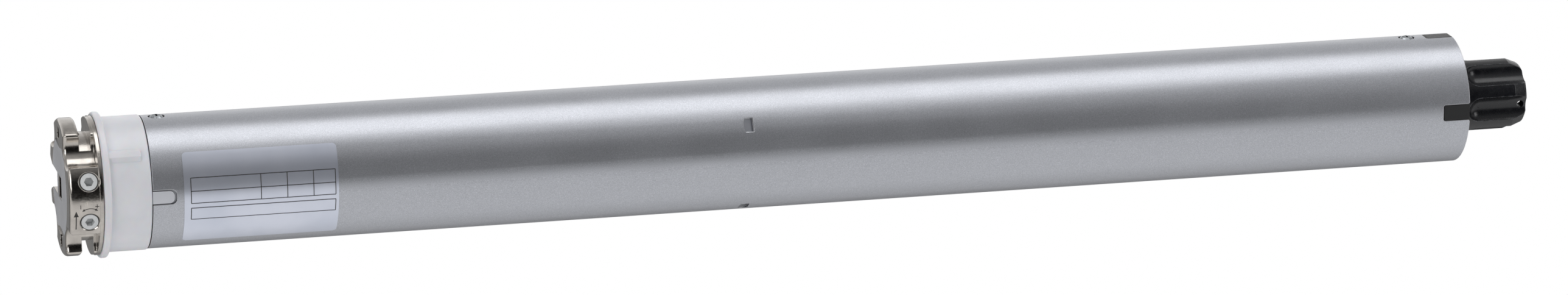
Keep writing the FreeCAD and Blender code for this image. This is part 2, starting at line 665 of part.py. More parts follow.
def make_head_casting():
    """Die-cast head: four lobes, a groove, a thin rim plate and the journal of the limit ring."""
    head = new_body("head_casting")
    journal = "(journal_diameter / 2)"
    journal_bore = "(journal_diameter / 2 - journal_wall)"
    revolve(head, (
        ("0", "0"),
        ("0", HEAD_RADIUS),
        (LOBED_DEPTH, HEAD_RADIUS),
        (LOBED_DEPTH, "rim_plate_diameter / 2"),
        ("head_depth", "rim_plate_diameter / 2"),
        ("head_depth", journal),
        (HEAD_SEAT, journal),
        (HEAD_SEAT, journal_bore),
        (LOBED_DEPTH, journal_bore),
        (LOBED_DEPTH, "cavity_diameter / 2"),
        ("head_wall", "cavity_diameter / 2"),
        ("head_wall", "boss_diameter / 2"),
        ("head_depth - axial_gap", "boss_diameter / 2"),
        ("head_depth - axial_gap", "0"),
    ))
    scallop = new_sketch(head, "YZ_Plane")
    circle(scallop, SCALLOP_RADIUS, f"{SCALLOP_CENTRE} * cos(45)", f"{SCALLOP_CENTRE} * sin(45)")
    repeat(head, pocket(head, scallop, LOBED_DEPTH), "4")

    def side_lobe_corner(edge):
        return lobe_corner(edge) and edge.CenterOfMass.y > -size(HEAD_RADIUS) * 0.7

    def lobe_corner(edge):
        middle = edge.CenterOfMass
        along = isinstance(edge.Curve, Part.Line) and abs(abs(edge.tangentAt(0).x) - 1) < 1e-6
        return along and abs(math.hypot(middle.y, middle.z) - size(HEAD_RADIUS)) < 0.05

    def face_edge(edge):
        middle = edge.CenterOfMass
        flat = edge.BoundBox.XMax < 0.001
        return flat and math.hypot(middle.y, middle.z) > size("scallop_floor") / 2 - 1

    round_edges(head, "lobe_round", side_lobe_corner)
    round_edges(head, "face_round", face_edge)
    turn_groove(head, (
        ("groove_start", "groove_floor / 2"),
        ("groove_start", f"{HEAD_RADIUS} - groove_lip"),
        ("groove_start - 0.13 * groove_lip", f"{HEAD_RADIUS} - 0.5 * groove_lip"),
        ("groove_start - 0.5 * groove_lip", f"{HEAD_RADIUS} - 0.13 * groove_lip"),
        ("groove_start - groove_lip", HEAD_RADIUS),
        ("groove_start - groove_lip", "head_diameter"),
        (GROOVE_END, "head_diameter"),
        (GROOVE_END, "groove_floor / 2"),
    ), "270")

    # walls that box the cable slot in, and the bosses of the head screws
    slot_half = "(cable_notch_width / 2 + cable_notch_wall)"
    low = ("head_wall", "0", f"0 - {slot_half}")
    block(head, low, ("head_depth", "cavity_diameter / 2 + axial_gap", slot_half))
    posts = new_sketch(head, "YZ_Plane", "head_wall")
    for bearing in SCREW_BEARINGS:
        y, z = across(bearing, "head_screw_circle / 2")
        circle(posts, "screw_boss / 2", y, z)
    pad(head, posts, f"{HEAD_SEAT} - head_wall")

    square = new_sketch(head, "YZ_Plane")
    rectangle(square, "0 - square_width / 2", "0 - square_width / 2", "square_width / 2", "square_width / 2")
    pocket(head, square, "square_depth")
    recess = new_sketch(head, "YZ_Plane")
    circle(recess, "plate_diameter / 2")
    pocket(head, recess, "plate_film")
    slot = new_sketch(head, "YZ_Plane")
    outline(slot, cable_slot_corners())
    pocket(head, slot, GROOVE_END)
    inlet = new_sketch(head, "YZ_Plane")
    half = "(inlet_width / 2 + inlet_gap)"
    rectangle(inlet, f"inlet_centre - {half}", f"0 - {half}", f"inlet_centre + {half}", half)
    pocket(head, inlet, "head_depth + axial_gap")

    for side in ("fixing_pitch / 2", "0 - fixing_pitch / 2"):
        bore(head, "0", "0", side, "fixing_bore / 2", "fixing_depth")
    for bearing in SCREW_BEARINGS:
        y, z = across(bearing, "head_screw_circle / 2")
        bore(head, "0", y, z, "head_screw_thread / 2 + head_screw_clearance", HEAD_SEAT)
        wide = "head_screw_head / 2 + head_screw_clearance"
        bore(head, "0", y, z, wide, "plate_film + head_screw_thread")
    floor = f"({HEAD_RADIUS} - adjuster_sink - adjuster_head_depth)"
    for bearing in ("adjuster_bearing", "(0 - adjuster_bearing)"):
        radial_bore(head, "adjuster_x", bearing, floor, "head_diameter", "counterbore / 2")
        edge = f"{HEAD_RADIUS} - counterbore_bevel"
        radial_bevel(head, "adjuster_x", bearing, edge, f"{edge} + 2 * counterbore_bevel", "counterbore / 2")
        stem = "adjuster_stem / 2 + adjuster_clearance"
        radial_bore(head, "adjuster_x", bearing, "setting_radius", "head_diameter / 2", stem)


def cable_slot_corners():
    """The slot in the rear lobe, which widens towards the outside."""
    middle = f"((cable_mouth_start + {HEAD_RADIUS}) / 2)"
    sides = (
        ("cable_notch_floor", "cable_notch_width / 2"),
        ("cable_mouth_start", "cable_notch_width / 2"),
        (middle, "(0.65 * cable_notch_width + 0.35 * cable_mouth_width) / 2"),
        (HEAD_RADIUS, "cable_mouth_width / 2"),
        ("head_diameter", "cable_mouth_width / 2"),
    )
    return [(y, z) for y, z in sides] + [(y, f"0 - {z}") for y, z in reversed(sides)]


def make_face_plate():
    """Thin plate in the recess of the mounting face, hollowed beside the two threaded holes."""
    plate = new_body("face_plate")
    disc = new_sketch(plate, "YZ_Plane", "0.1 * plate_film")
    circle(disc, "plate_diameter / 2 - plate_gap")
    pad(plate, disc, "0.9 * plate_film")
    for sign in ("", "0 - "):
        relief = new_sketch(plate, "YZ_Plane")
        circle(relief, "plate_relief_radius", "0", f"{sign}(plate_relief_floor + plate_relief_radius)")
        pocket(plate, relief, "head_wall")
    hole = new_sketch(plate, "YZ_Plane")
    half = "(square_width / 2 + plate_gap)"
    rectangle(hole, f"0 - {half}", f"0 - {half}", half, half)
    pocket(plate, hole, "head_wall")
    slot = new_sketch(plate, "YZ_Plane")
    half = "(cable_notch_width / 2 + plate_gap)"
    rectangle(slot, "cable_notch_floor - plate_gap", f"0 - {half}", "head_diameter", half)
    pocket(plate, slot, "head_wall")


def make_head_screws():
    """Four countersunk screws under the face plate, which clamp the limit housing to the head."""
    screws = []
    head_radius = "(head_screw_head / 2)"
    shank = "(head_screw_thread / 2)"
    for number, bearing in enumerate(SCREW_BEARINGS, start=1):
        screw = new_body(f"head_screw_{number}", is_sub_part=False)
        revolve(screw, (
            ("plate_film", "0"),
            ("plate_film", head_radius),
            ("plate_film + head_screw_thread - 1.4", head_radius),
            ("plate_film + head_screw_thread", shank),
            (f"{CHAMBER_END} - axial_gap", shank),
            (f"{CHAMBER_END} - axial_gap", "0"),
        ))
        y, z = across(bearing, "head_screw_circle / 2")
        bind(screw, "Placement.Base.y", y)
        bind(screw, "Placement.Base.z", z)
        screws.append(screw)
    group("head_screws", screws)


def make_cable_inlet():
    """Socket at the end of the cable slot, which the supply cable plugs into."""
    inlet = new_body("cable_inlet")
    start = GROOVE_END
    half = "(inlet_width / 2)"
    block(
        inlet,
        (start, f"inlet_centre - {half}", f"0 - {half}"),
        (f"{start} + inlet_length", f"inlet_centre + {half}", half),
    )
    hollow = "(inlet_cavity / 2)"
    block(
        inlet,
        (start, f"inlet_centre - {hollow}", f"0 - {hollow}"),
        (f"{start} + inlet_cavity_depth", f"inlet_centre + {hollow}", hollow),
        subtractive=True,
    )
    pins = new_sketch(inlet, "YZ_Plane", f"{start} + inlet_cavity_depth - inlet_pin")
    for y in ("inlet_centre - inlet_cavity / 4", "inlet_centre + inlet_cavity / 4"):
        for z in ("inlet_cavity / 4", "0 - inlet_cavity / 4"):
            circle(pins, "0.5", y, z)
    pad(inlet, pins, "inlet_pin + 1")


# ---------------------------------------------------------------- adjusting screws and switches

def mitre_gear():
    """Mitre gear on the Z axis: its apex is the origin and its teeth taper towards it."""
    teeth = int(size("mitre_teeth"))
    pitch_radius = size("mitre_radius")
    module = 2 * pitch_radius / teeth
    gap = math.pi * module / 2 * (2 - size("tooth_share")) / 2
    slope = math.tan(math.radians(size("pressure_angle") + 64 / teeth))
    tip = pitch_radius + 0.7 * module
    root = pitch_radius - 0.8 * module
    tip_half = math.pi / teeth - (gap + (tip - pitch_radius) * slope) / tip
    root_half = math.pi / teeth - (gap + (root - pitch_radius) * slope) / root
    places = []
    for tooth in range(teeth):
        middle = 2 * math.pi * tooth / teeth
        for radius, turn in ((root, -root_half), (tip, -tip_half), (tip, tip_half), (root, root_half)):
            places.append((radius * math.cos(middle + turn), radius * math.sin(middle + turn)))

    def section(height):
        scale = height / pitch_radius
        ring = [FreeCAD.Vector(x * scale, y * scale, height) for x, y in places]
        return Part.makePolygon(ring + ring[:1])
    return Part.makeLoft([section(pitch_radius - size("mitre_face")), section(pitch_radius)], True, True)


def make_adjusting_screw(label, bearing):
    """White adjusting screw: hexagon socket, stem and a mitre gear at its inner end."""
    apex = "setting_radius"
    gear = mitre_gear()
    half_tooth = 180 / size("mitre_teeth")
    gear.rotate(FreeCAD.Vector(), FreeCAD.Vector(0, 0, 1), half_tooth)
    top = size(HEAD_RADIUS) - size("adjuster_sink") - size(apex)
    head_depth = size("adjuster_head_depth") - 0.1
    stem_start = size("mitre_radius") - 0.2
    stem = Part.makeCylinder(size("adjuster_stem") / 2, top - stem_start, FreeCAD.Vector(0, 0, stem_start))
    head = Part.makeCylinder(size("adjuster_head") / 2, head_depth, FreeCAD.Vector(0, 0, top - head_depth))
    corners = []
    for step in range(7):
        turn = math.radians(60 * step)
        reach = size("adjuster_socket") / 2 / math.cos(math.radians(30))
        corners.append(FreeCAD.Vector(reach * math.cos(turn), reach * math.sin(turn), top))
    depth = FreeCAD.Vector(0, 0, -size("adjuster_socket_depth"))
    socket = Part.Face(Part.makePolygon(corners)).extrude(depth)
    screw = doc.addObject("Part::Feature", label)
    screw.Shape = gear.fuse([stem, head]).cut(socket).removeSplitter()
    turn = FreeCAD.Rotation(FreeCAD.Vector(1, 0, 0), 90 - size(bearing))
    y, z = across(bearing, apex)
    screw.Placement = FreeCAD.Placement(FreeCAD.Vector(size("adjuster_x"), size(y), size(z)), turn)
    bind(screw, "Placement.Base.x", "adjuster_x")
    bind(screw, "Placement.Base.y", y)
    bind(screw, "Placement.Base.z", z)
    listed(screw, label)


def make_setting_spindle(label, bearing):
    """Threaded spindle with the mating mitre gear, which moves one switch carriage."""
    gear = mitre_gear()
    start = size("mitre_radius") - size("mitre_face")
    end = size(f"{HOUSING_END} - adjuster_x")
    radius = size("setting_diameter") / 2
    spindle = doc.addObject("Part::Feature", label)
    near = size("mitre_radius") - 0.2
    body = Part.makeCylinder(radius, end - near, FreeCAD.Vector(0, 0, near))
    journal_length = size("cover_thickness") - 0.5
    journal = Part.makeCylinder(size("setting_journal") / 2, journal_length, FreeCAD.Vector(0, 0, end))
    spindle.Shape = gear.fuse([body, journal]).removeSplitter()
    turn = FreeCAD.Rotation(FreeCAD.Vector(1, 0, 0), 90 - size(bearing))
    turn = turn.multiply(FreeCAD.Rotation(FreeCAD.Vector(0, 1, 0), 90))
    y, z = across(bearing, "setting_radius")
    spindle.Placement = FreeCAD.Placement(FreeCAD.Vector(size("adjuster_x"), size(y), size(z)), turn)
    bind(spindle, "Placement.Base.x", "adjuster_x")
    bind(spindle, "Placement.Base.y", y)
    bind(spindle, "Placement.Base.z", z)
    listed(spindle, label)


def make_switch_carriage(label, side, start, bearing):
    """Moulded carriage on its setting spindle and guide rod; side is +1 above the mid plane."""
    carriage = new_body(label)
    low, high = ("carriage_split", "carriage_split + carriage_height")
    if side < 0:
        low, high = ("0 - carriage_split - carriage_height", "0 - carriage_split")
    block(
        carriage,
        (start, "0 - carriage_outer", low),
        (f"{start} + carriage_length", "0 - carriage_inner", high),
    )
    y, z = across(bearing, "setting_radius")
    bore(carriage, start, y, z, "setting_diameter / 2 + running_gap", "carriage_length")
    z = f"{side} * guide_height"
    bore(carriage, start, "0 - guide_offset", z, "guide_diameter / 2 + running_gap", "carriage_length")


def make_microswitch(label, side, start, faces_end):
    """Switch on the inner side of its carriage, with a bore for the plunger."""
    switch = new_body(label)
    middle = f"{side} * (carriage_split + carriage_height / 2)"
    half = "(switch_height / 2)"
    block(
        switch,
        (start, "0 - carriage_inner", f"{middle} - {half}"),
        (f"{start} + carriage_length", "switch_width - carriage_inner", f"{middle} + {half}"),
    )
    centre = "(switch_width / 2 - carriage_inner)"
    depth = "(plunger_hidden + axial_gap)"
    place = f"({start} + carriage_length - {depth})" if faces_end else start
    bore(switch, place, centre, plunger_height(side), "plunger_diameter / 2 + running_gap", depth)


def plunger_height(side):
    return f"{side} * nut_arm_half * 0.6"


def make_plunger(label, side, start, faces_end):
    centre = "(switch_width / 2 - carriage_inner)"
    length = "(plunger_reach + plunger_hidden)"
    place = f"({start} + carriage_length - plunger_hidden)" if faces_end else f"({start} - plunger_reach)"
    rod(label, place, centre, plunger_height(side), "plunger_diameter / 2", length)


# ---------------------------------------------------------------- counting train and limit housing

def make_limit_ring():
    """Crown ring that the roller turns: collar, driving rib and internal teeth."""
    ring = new_body("limit_ring")
    start, end = (RING_START, RING_END)
    journal_bore = "(journal_diameter / 2 + ring_running_gap)"
    teeth_start = f"({end} - ring_teeth_width)"
    tip = "(ring_teeth * ring_module / 2 - addendum * ring_module)"
    revolve(ring, (
        (start, journal_bore),
        (start, "ring_flange / 2"),
        (f"{start} + ring_flange_width", "ring_flange / 2"),
        (f"{start} + ring_flange_width", "ring_diameter / 2"),
        (end, "ring_diameter / 2"),
        (end, tip),
        (teeth_start, tip),
        (teeth_start, journal_bore),
    ))
    rib = new_sketch(ring, "YZ_Plane", f"{start} + ring_flange_width / 2")
    slope = "((ring_rib_base - ring_rib_width) / 2 / ring_rib_height)"
    foot = ("(ring_diameter / 2 - ring_edge)", f"(ring_rib_base / 2 + ring_edge * {slope})")
    top = ("(ring_diameter / 2 + ring_rib_height)", "(ring_rib_width / 2)")
    corners = []
    for (reach, half), side in ((foot, "(0 - 1)"), (foot, "1"), (top, "1"), (top, "(0 - 1)")):
        corners.append((
            f"0 - {reach} * cos(ring_rib_bearing) - {side} * {half} * sin(ring_rib_bearing)",
            f"{reach} * sin(ring_rib_bearing) - {side} * {half} * cos(ring_rib_bearing)",
        ))
    outline(rib, corners)
    pad(ring, rib, "ring_flange_width / 2 + ring_rib_length")
    round_edges(ring, "ring_rib_round", square_to_axis(f"{start} + ring_flange_width + ring_rib_length"))
    for place in (start, f"{start} + ring_flange_width"):
        round_edges(ring, "ring_edge", circle_at(place, "ring_flange / 2"))
    round_edges(ring, "ring_edge", circle_at(end, "ring_diameter / 2"))
    cut_teeth(ring, teeth_start, "ring_teeth_width", "ring_teeth", "ring_module", internal=True)


def make_counting_train():
    """Pinion in the ring's teeth, its threaded spindle and the travelling nut."""
    pinion = new_body("counting_pinion")
    revolve(pinion, (
        (PINION_START, "travel_diameter / 2"),
        (PINION_START, tip_radius("pinion_teeth", "ring_module")),
        (f"{PINION_START} + pinion_width", tip_radius("pinion_teeth", "ring_module")),
        (f"{PINION_START} + pinion_width", "travel_diameter / 2"),
    ))
    cut_teeth(pinion, PINION_START, "pinion_width", "pinion_teeth", "ring_module")
    pinion.Placement.Rotation = FreeCAD.Rotation(FreeCAD.Vector(1, 0, 0), 180 / size("pinion_teeth"))
    bind(pinion, "Placement.Rotation.Angle", "180 / pinion_teeth")
    bind(pinion, "Placement.Base.y", COUNTING_CENTRE)

    spindle = new_body("travel_spindle")
    revolve(spindle, (
        (f"{HEAD_SEAT} + 0.5", "0"),
        (f"{HEAD_SEAT} + 0.5", "travel_journal / 2"),
        (PINION_START, "travel_journal / 2"),
        (PINION_START, "travel_diameter / 2"),
        (f"{HOUSING_END} - axial_gap", "travel_diameter / 2"),
        (f"{HOUSING_END} - axial_gap", "travel_journal / 2"),
        (f"{COVER_END} - 0.5", "travel_journal / 2"),
        (f"{COVER_END} - 0.5", "0"),
    ))
    bind(spindle, "Placement.Base.y", COUNTING_CENTRE)

    nut = new_body("travel_nut")
    block(
        nut,
        (NUT_START, f"{COUNTING_CENTRE} - nut_half_width", "0 - nut_drop"),
        (f"{NUT_START} + nut_length", f"{COUNTING_CENTRE} + nut_half_width", "nut_ear"),
    )
    block(
        nut,
        (NUT_START, "nut_arm_end", "0 - nut_arm_half"),
        (f"{NUT_START} + nut_length", COUNTING_CENTRE, "nut_arm_half"),
    )
    bore(nut, NUT_START, COUNTING_CENTRE, "0", "travel_diameter / 2 + running_gap", "nut_length")
    guide = "guide_diameter / 2 + running_gap"
    bore(nut, NUT_START, COUNTING_CENTRE, "nut_guide_height", guide, "nut_length")

    length = f"({HOUSING_END} - {SHAFT_WALL_END})"
    rods = []
    places = (
        ("0 - guide_offset", "guide_height"),
        ("0 - guide_offset", "0 - guide_height"),
        (COUNTING_CENTRE, "nut_guide_height"),
    )
    for number, (y, z) in enumerate(places, start=1):
        rods.append(rod(f"guide_rod_{number}", SHAFT_WALL_END, y, z, "guide_diameter / 2", length, False))
    group("guide_rods", rods)


def make_limit_housing():
    """White moulding: pinion chamber inside the ring, key tab and the switch space in the tube."""
    housing = new_body("limit_housing")
    inner = f"({SPIGOT} - housing_wall)"
    revolve(housing, (
        (HEAD_SEAT, "0"),
        (HEAD_SEAT, "neck_diameter / 2"),
        ("tube_start", "neck_diameter / 2"),
        ("tube_start", SPIGOT),
        (HOUSING_END, SPIGOT),
        (HOUSING_END, inner),
        (SHAFT_WALL_END, inner),
        (SHAFT_WALL_END, "0"),
    ))
    turn_groove(housing, (
        (CHAMBER_START, "0"),
        (CHAMBER_START, "neck_diameter / 2 - neck_wall"),
        (CHAMBER_END, "neck_diameter / 2 - neck_wall"),
        (CHAMBER_END, "0"),
    ))
    posts = new_sketch(housing, "YZ_Plane", f"{HEAD_SEAT} + end_wall / 2")
    for bearing in SCREW_BEARINGS:
        y, z = across(bearing, "head_screw_circle / 2")
        circle(posts, "screw_boss / 2", y, z)
    pad(housing, posts, f"{CHAMBER_END} - {HEAD_SEAT}")
    window = f"({tip_radius('pinion_teeth', 'ring_module')} + axial_gap)"
    block(
        housing,
        (CHAMBER_START, COUNTING_CENTRE, f"0 - {window}"),
        (CHAMBER_END, "neck_diameter", window),
        subtractive=True,
    )
    for bearing in SCREW_BEARINGS:
        y, z = across(bearing, "head_screw_circle / 2")
        depth = f"{CHAMBER_END} - axial_gap / 2 - {HEAD_SEAT}"
        bore(housing, HEAD_SEAT, y, z, "head_screw_thread / 2 + head_screw_clearance", depth)
    through = f"{SHAFT_WALL_END} - {HEAD_SEAT}"
    for bearing in ("adjuster_bearing", "(0 - adjuster_bearing)"):
        y, z = across(bearing, "setting_radius")
        bore(housing, HEAD_SEAT, y, z, "setting_diameter / 2 + running_gap", through)
    bore(housing, HEAD_SEAT, COUNTING_CENTRE, "0", "travel_journal / 2 + running_gap", "end_wall")
    bore(housing, CHAMBER_END, COUNTING_CENTRE, "0", "travel_diameter / 2 + running_gap", "end_wall + 1")

    tab = new_sketch(housing, "XZ_Plane", f"{SPIGOT} - 0.5")
    tab_end = "tube_start + tab_length"
    rectangle(tab, "tube_start - ring_tube_gap / 2", "0 - tab_width / 2", tab_end, "tab_width / 2")
    pad(housing, tab, f"{TUBE_RADIUS} - tab_sink - {SPIGOT} + 0.5")

    def tab_corner(edge):
        middle = edge.CenterOfMass
        at_end = abs(middle.x - size(tab_end)) < 0.01 and abs(abs(middle.z) - size("tab_width") / 2) < 0.01
        return at_end and abs(abs(edge.tangentAt(edge.FirstParameter).y) - 1) < 1e-6
    round_edges(housing, "slot_corner", tab_corner)
    screw_holes(housing, "tube_start + near_screw_inset", "tube_screw_thread / 2 + head_screw_clearance")


def screw_holes(body, x, radius):
    """Two radial holes for fixing screws, at the top and the bottom."""
    for bearing in ("90", "270"):
        radial_bore(body, x, bearing, f"{SPIGOT} - tube_screw_reach - axial_gap", "tube_diameter", radius)


def make_housing_cover():
    """Rear cover, which carries the far ends of the spindles."""
    cover = new_body("limit_housing_cover")
    lip = f"({SPIGOT} - housing_wall - spigot_clearance)"
    revolve(cover, (
        (HOUSING_END, "0"),
        (HOUSING_END, SPIGOT),
        (COVER_END, SPIGOT),
        (COVER_END, "0"),
    ))
    rim = new_sketch(cover, "YZ_Plane", f"{HOUSING_END} - cover_lip")
    circle(rim, lip)
    circle(rim, f"{lip} - cover_lip_wall")
    pad(cover, rim, "cover_lip + axial_gap / 2")
    for bearing in ("adjuster_bearing", "(0 - adjuster_bearing)"):
        y, z = across(bearing, "setting_radius")
        bore(cover, HOUSING_END, y, z, "setting_journal / 2 + running_gap", "cover_thickness")
    bore(cover, HOUSING_END, COUNTING_CENTRE, "0", "travel_journal / 2 + running_gap", "cover_thickness")
    bore(cover, HOUSING_END, "0", f"0 - {SPIGOT} / 2", "cover_wire_hole / 2", "cover_thickness")


# ---------------------------------------------------------------- tube

def make_motor_tube():
    """Steel tube: key slot, far notches, screw holes and the crimp dents."""
    tube = new_body("motor_tube")
    revolve(tube, (
        ("tube_start", TUBE_BORE),
        ("tube_start", TUBE_RADIUS),
        (TUBE_END, TUBE_RADIUS),
        (TUBE_END, TUBE_BORE),
    ))
    slot = new_sketch(tube, "XZ_Plane", f"{TUBE_BORE} * 0.8")
    slot_end = "tube_start + slot_depth"
    rectangle(slot, "tube_start - 1", "0 - slot_width / 2", slot_end, "slot_width / 2")
    pocket(tube, slot, "tube_diameter / 4")

    def slot_corner(edge):
        middle = edge.CenterOfMass
        at_end = abs(middle.x - size(slot_end)) < 0.01 and middle.y < 0
        return at_end and abs(abs(edge.tangentAt(edge.FirstParameter).y) - 1) < 1e-6
    round_edges(tube, "slot_corner", slot_corner)
    notch = new_sketch(tube, "XZ_Plane", f"{TUBE_BORE} * 0.8")
    notch_start = f"{TUBE_END} - notch_depth"
    rectangle(notch, notch_start, "0 - notch_width / 2", f"{TUBE_END} + 1", "notch_width / 2")
    repeat(tube, pocket(tube, notch, "tube_diameter / 4"), "notch_count")
    round_edges(tube, "notch_round", square_to_axis(notch_start, TUBE_END))
    for bearing in ("90", "270"):
        for place in ("tube_start + near_screw_inset", f"{TUBE_END} - far_screw_inset"):
            radial_bore(tube, place, bearing, f"{TUBE_BORE} - 2", "tube_diameter", "tube_screw_hole / 2")
    # a punched dent: a sharp far edge and a ramp that runs out towards the head, inside and outside
    bulge = new_dent_sketch(tube)
    outline(bulge, (
        (DENTS, f"0 - {TUBE_BORE} - tube_wall / 3"),
        (DENTS, f"0 - {TUBE_BORE} + dent_depth"),
        (f"{DENTS} - dent_length", f"0 - {TUBE_BORE}"),
        (f"{DENTS} - dent_length", f"0 - {TUBE_BORE} - tube_wall / 3"),
    ))
    repeat(tube, pad(tube, bulge, "dent_width"), "4")
    dent = new_dent_sketch(tube)
    outline(dent, (
        (DENTS, f"0 - {TUBE_RADIUS} + dent_depth"),
        (DENTS, f"0 - {TUBE_RADIUS} - tube_wall"),
        (f"{DENTS} - dent_length", f"0 - {TUBE_RADIUS} - tube_wall"),
        (f"{DENTS} - dent_length", f"0 - {TUBE_RADIUS}"),
    ))
    repeat(tube, pocket(tube, dent, "dent_width"), "4")


def new_dent_sketch(tube):
    """A sketch along the axis, at one side of the first dent: -Y of the sketch points outwards."""
    sketch = new_sketch(tube, "XY_Plane", "0 - dent_width / 2 * cos(dent_bearing)")
    turn = FreeCAD.Rotation(FreeCAD.Vector(1, 0, 0), 360 - size("dent_bearing"))
    sketch.AttachmentOffset = FreeCAD.Placement(sketch.AttachmentOffset.Base, turn)
    bind(sketch, "AttachmentOffset.Base.y", "0 - dent_width / 2 * sin(dent_bearing)")
    bind(sketch, "AttachmentOffset.Rotation.Angle", "360 - dent_bearing")
    return sketch


def make_rating_label():
    """Curved film on the tube."""
    film = new_body("rating_label")
    sketch = new_sketch(film, "XY_Plane")
    left = "tube_start + label_start"
    low = f"({TUBE_RADIUS} + label_bond)"
    rectangle(sketch, left, low, f"{left} + label_length", f"{low} + label_film")
    turned = film.newObject("PartDesign::Revolution", "film")
    turned.Profile = sketch
    turned.ReferenceAxis = (sketch, ["H_Axis"])
    turned.Midplane = True
    bind(turned, "Angle", "label_sweep")

    def corner(edge):
        straight = isinstance(edge.Curve, Part.Line) and abs(edge.tangentAt(edge.FirstParameter).x) < 1e-6
        return straight and edge.Length < 2 * size("label_film")
    round_edges(film, "label_corner", corner)
    middle = "(180 - label_top + label_sweep / 2)"
    film.Placement.Rotation = FreeCAD.Rotation(FreeCAD.Vector(1, 0, 0), size(middle))
    bind(film, "Placement.Rotation.Angle", middle)


def make_tube_screws():
    """Pan head screws through the tube: two into the limit housing, two into the end cap."""
    screws = []
    places = (("near", "tube_start + near_screw_inset"), ("far", f"{TUBE_END} - far_screw_inset"))
    seat = SPIGOT
    head = f"({TUBE_RADIUS} + tube_screw_rise - {seat})"
    recess = f"tube_screw_reach + {head} - cross_recess_depth"
    for end, x in places:
        for bearing, side in (("90", "top"), ("270", "bottom")):
            screw = new_body(f"tube_screw_{end}_{side}", is_sub_part=False)
            revolve(screw, (
                ("0", "0"),
                ("0", "tube_screw_thread / 2"),
                ("tube_screw_reach", "tube_screw_thread / 2"),
                ("tube_screw_reach", "tube_screw_head / 2"),
                (f"tube_screw_reach + 0.5 * {head}", "tube_screw_head / 2"),
                (f"tube_screw_reach + 0.85 * {head}", "0.8 * tube_screw_head / 2"),
                (f"tube_screw_reach + {head}", "0.5 * tube_screw_head / 2"),
                (f"tube_screw_reach + {head}", "0"),
            ))
            for long, wide in ((0, 1), (1, 0)):
                reach = ["cross_recess_length / 2", "cross_recess_width / 2"]
                high = (f"tube_screw_reach + {head} + axial_gap", reach[long], reach[wide])
                block(screw, (recess, f"0 - {reach[long]}", f"0 - {reach[wide]}"), high, subtractive=True)
            turn = -90 if side == "top" else 90
            screw.Placement.Rotation = FreeCAD.Rotation(FreeCAD.Vector(0, 1, 0), turn)
            sign = "" if side == "top" else "0 - "
            bind(screw, "Placement.Base.x", x)
            bind(screw, "Placement.Base.z", f"{sign}({seat} - tube_screw_reach)")
            screws.append(screw)
    group("tube_screws", screws)


# ---------------------------------------------------------------- capacitor

def make_capacitor():
    """Run capacitor with two tab terminals, in a plastic cradle."""
    capacitor = new_body("capacitor")
    end = CAPACITOR_END
    radius = "(capacitor_diameter / 2)"
    revolve(capacitor, (
        (CAPACITOR_START, "0"),
        (CAPACITOR_START, f"{radius} - capacitor_edge"),
        (f"{CAPACITOR_START} + capacitor_edge", radius),
        (end, radius),
        (end, "0"),
    ))
    half = "(terminal_width / 2)"
    for side in ("terminal_spacing / 2", "0 - terminal_spacing / 2"):
        block(
            capacitor,
            (f"{CAPACITOR_START} - terminal_length", f"0 - {half}", f"{side} - terminal_thickness / 2"),
            (f"{CAPACITOR_START} + axial_gap", half, f"{side} + terminal_thickness / 2"),
        )

    cradle = new_body("capacitor_cradle")
    start = f"({CAPACITOR_START} - cradle_overlap)"
    finish = f"({end} + cradle_overlap)"
    inside = f"({radius} + slide_gap)"
    revolve(cradle, (
        (start, inside),
        (start, SPIGOT),
        (f"{start} + cradle_overlap * 2", SPIGOT),
        (f"{start} + cradle_overlap * 2", f"{inside} + cradle_wall"),
        (f"{finish} - cradle_overlap * 2", f"{inside} + cradle_wall"),
        (f"{finish} - cradle_overlap * 2", SPIGOT),
        (finish, SPIGOT),
        (finish, inside),
    ))
    slot = new_sketch(cradle, "YZ_Plane", f"{start} - 1")
    rectangle(slot, "0 - cradle_overlap", "0", "cradle_overlap", "tube_diameter")
    pocket(cradle, slot, f"{finish} - {start} + 2")


# ---------------------------------------------------------------- induction motor

def make_end_shield(label, start, bush_side, crimped):
    """Cast end shield: a web with the bush seat and a rim that centres in the tube."""
    shield = new_body(label)
    end = f"({start} + shield_thickness)"
    web_start, web_end = (start, f"({start} + shield_wall)")
    if bush_side == "end":
        web_start, web_end = (f"({end} - shield_wall)", end)
    rim = f"({SPIGOT} - shield_rim)"
    seat = "(shaft_journal / 2 + bush_wall)"
    if bush_side == "end":
        corners = [
            (start, rim), (start, SPIGOT), (end, SPIGOT), (end, seat),
            (f"{end} - bush_length - axial_gap", seat),
            (f"{end} - bush_length - axial_gap", f"{seat} + bush_seat_wall"),
            (web_start, f"{seat} + bush_seat_wall"), (web_start, rim),
        ]
    else:
        corners = [
            (end, rim), (end, SPIGOT), (start, SPIGOT), (start, seat),
            (f"{start} + bush_length + axial_gap", seat),
            (f"{start} + bush_length + axial_gap", f"{seat} + bush_seat_wall"),
            (web_end, f"{seat} + bush_seat_wall"), (web_end, rim),
        ]
    revolve(shield, corners)
    if crimped:
        turn_groove(shield, (
            (f"{DENTS} - dent_length - axial_gap / 2", f"{SPIGOT} - dent_groove"),
            (f"{DENTS} - dent_length - axial_gap / 2", "tube_diameter"),
            (f"{DENTS} + slide_gap", "tube_diameter"),
            (f"{DENTS} + slide_gap", f"{SPIGOT} - dent_groove"),
        ))
    vents = new_sketch(shield, "YZ_Plane", f"{start} - 1")
    circle(vents, "shield_vent / 2", f"({seat} + bush_seat_wall + {rim}) / 2", "0")
    repeat(shield, pocket(shield, vents, "shield_thickness + 2"), "4")


def make_bush(label, start):
    bush = new_body(label)
    outer = "(shaft_journal / 2 + bush_wall)"
    revolve(bush, (
        (start, "shaft_journal / 2 + running_gap"),
        (start, outer),
        (f"{start} + bush_length", outer),
        (f"{start} + bush_length", "shaft_journal / 2 + running_gap"),
    ))


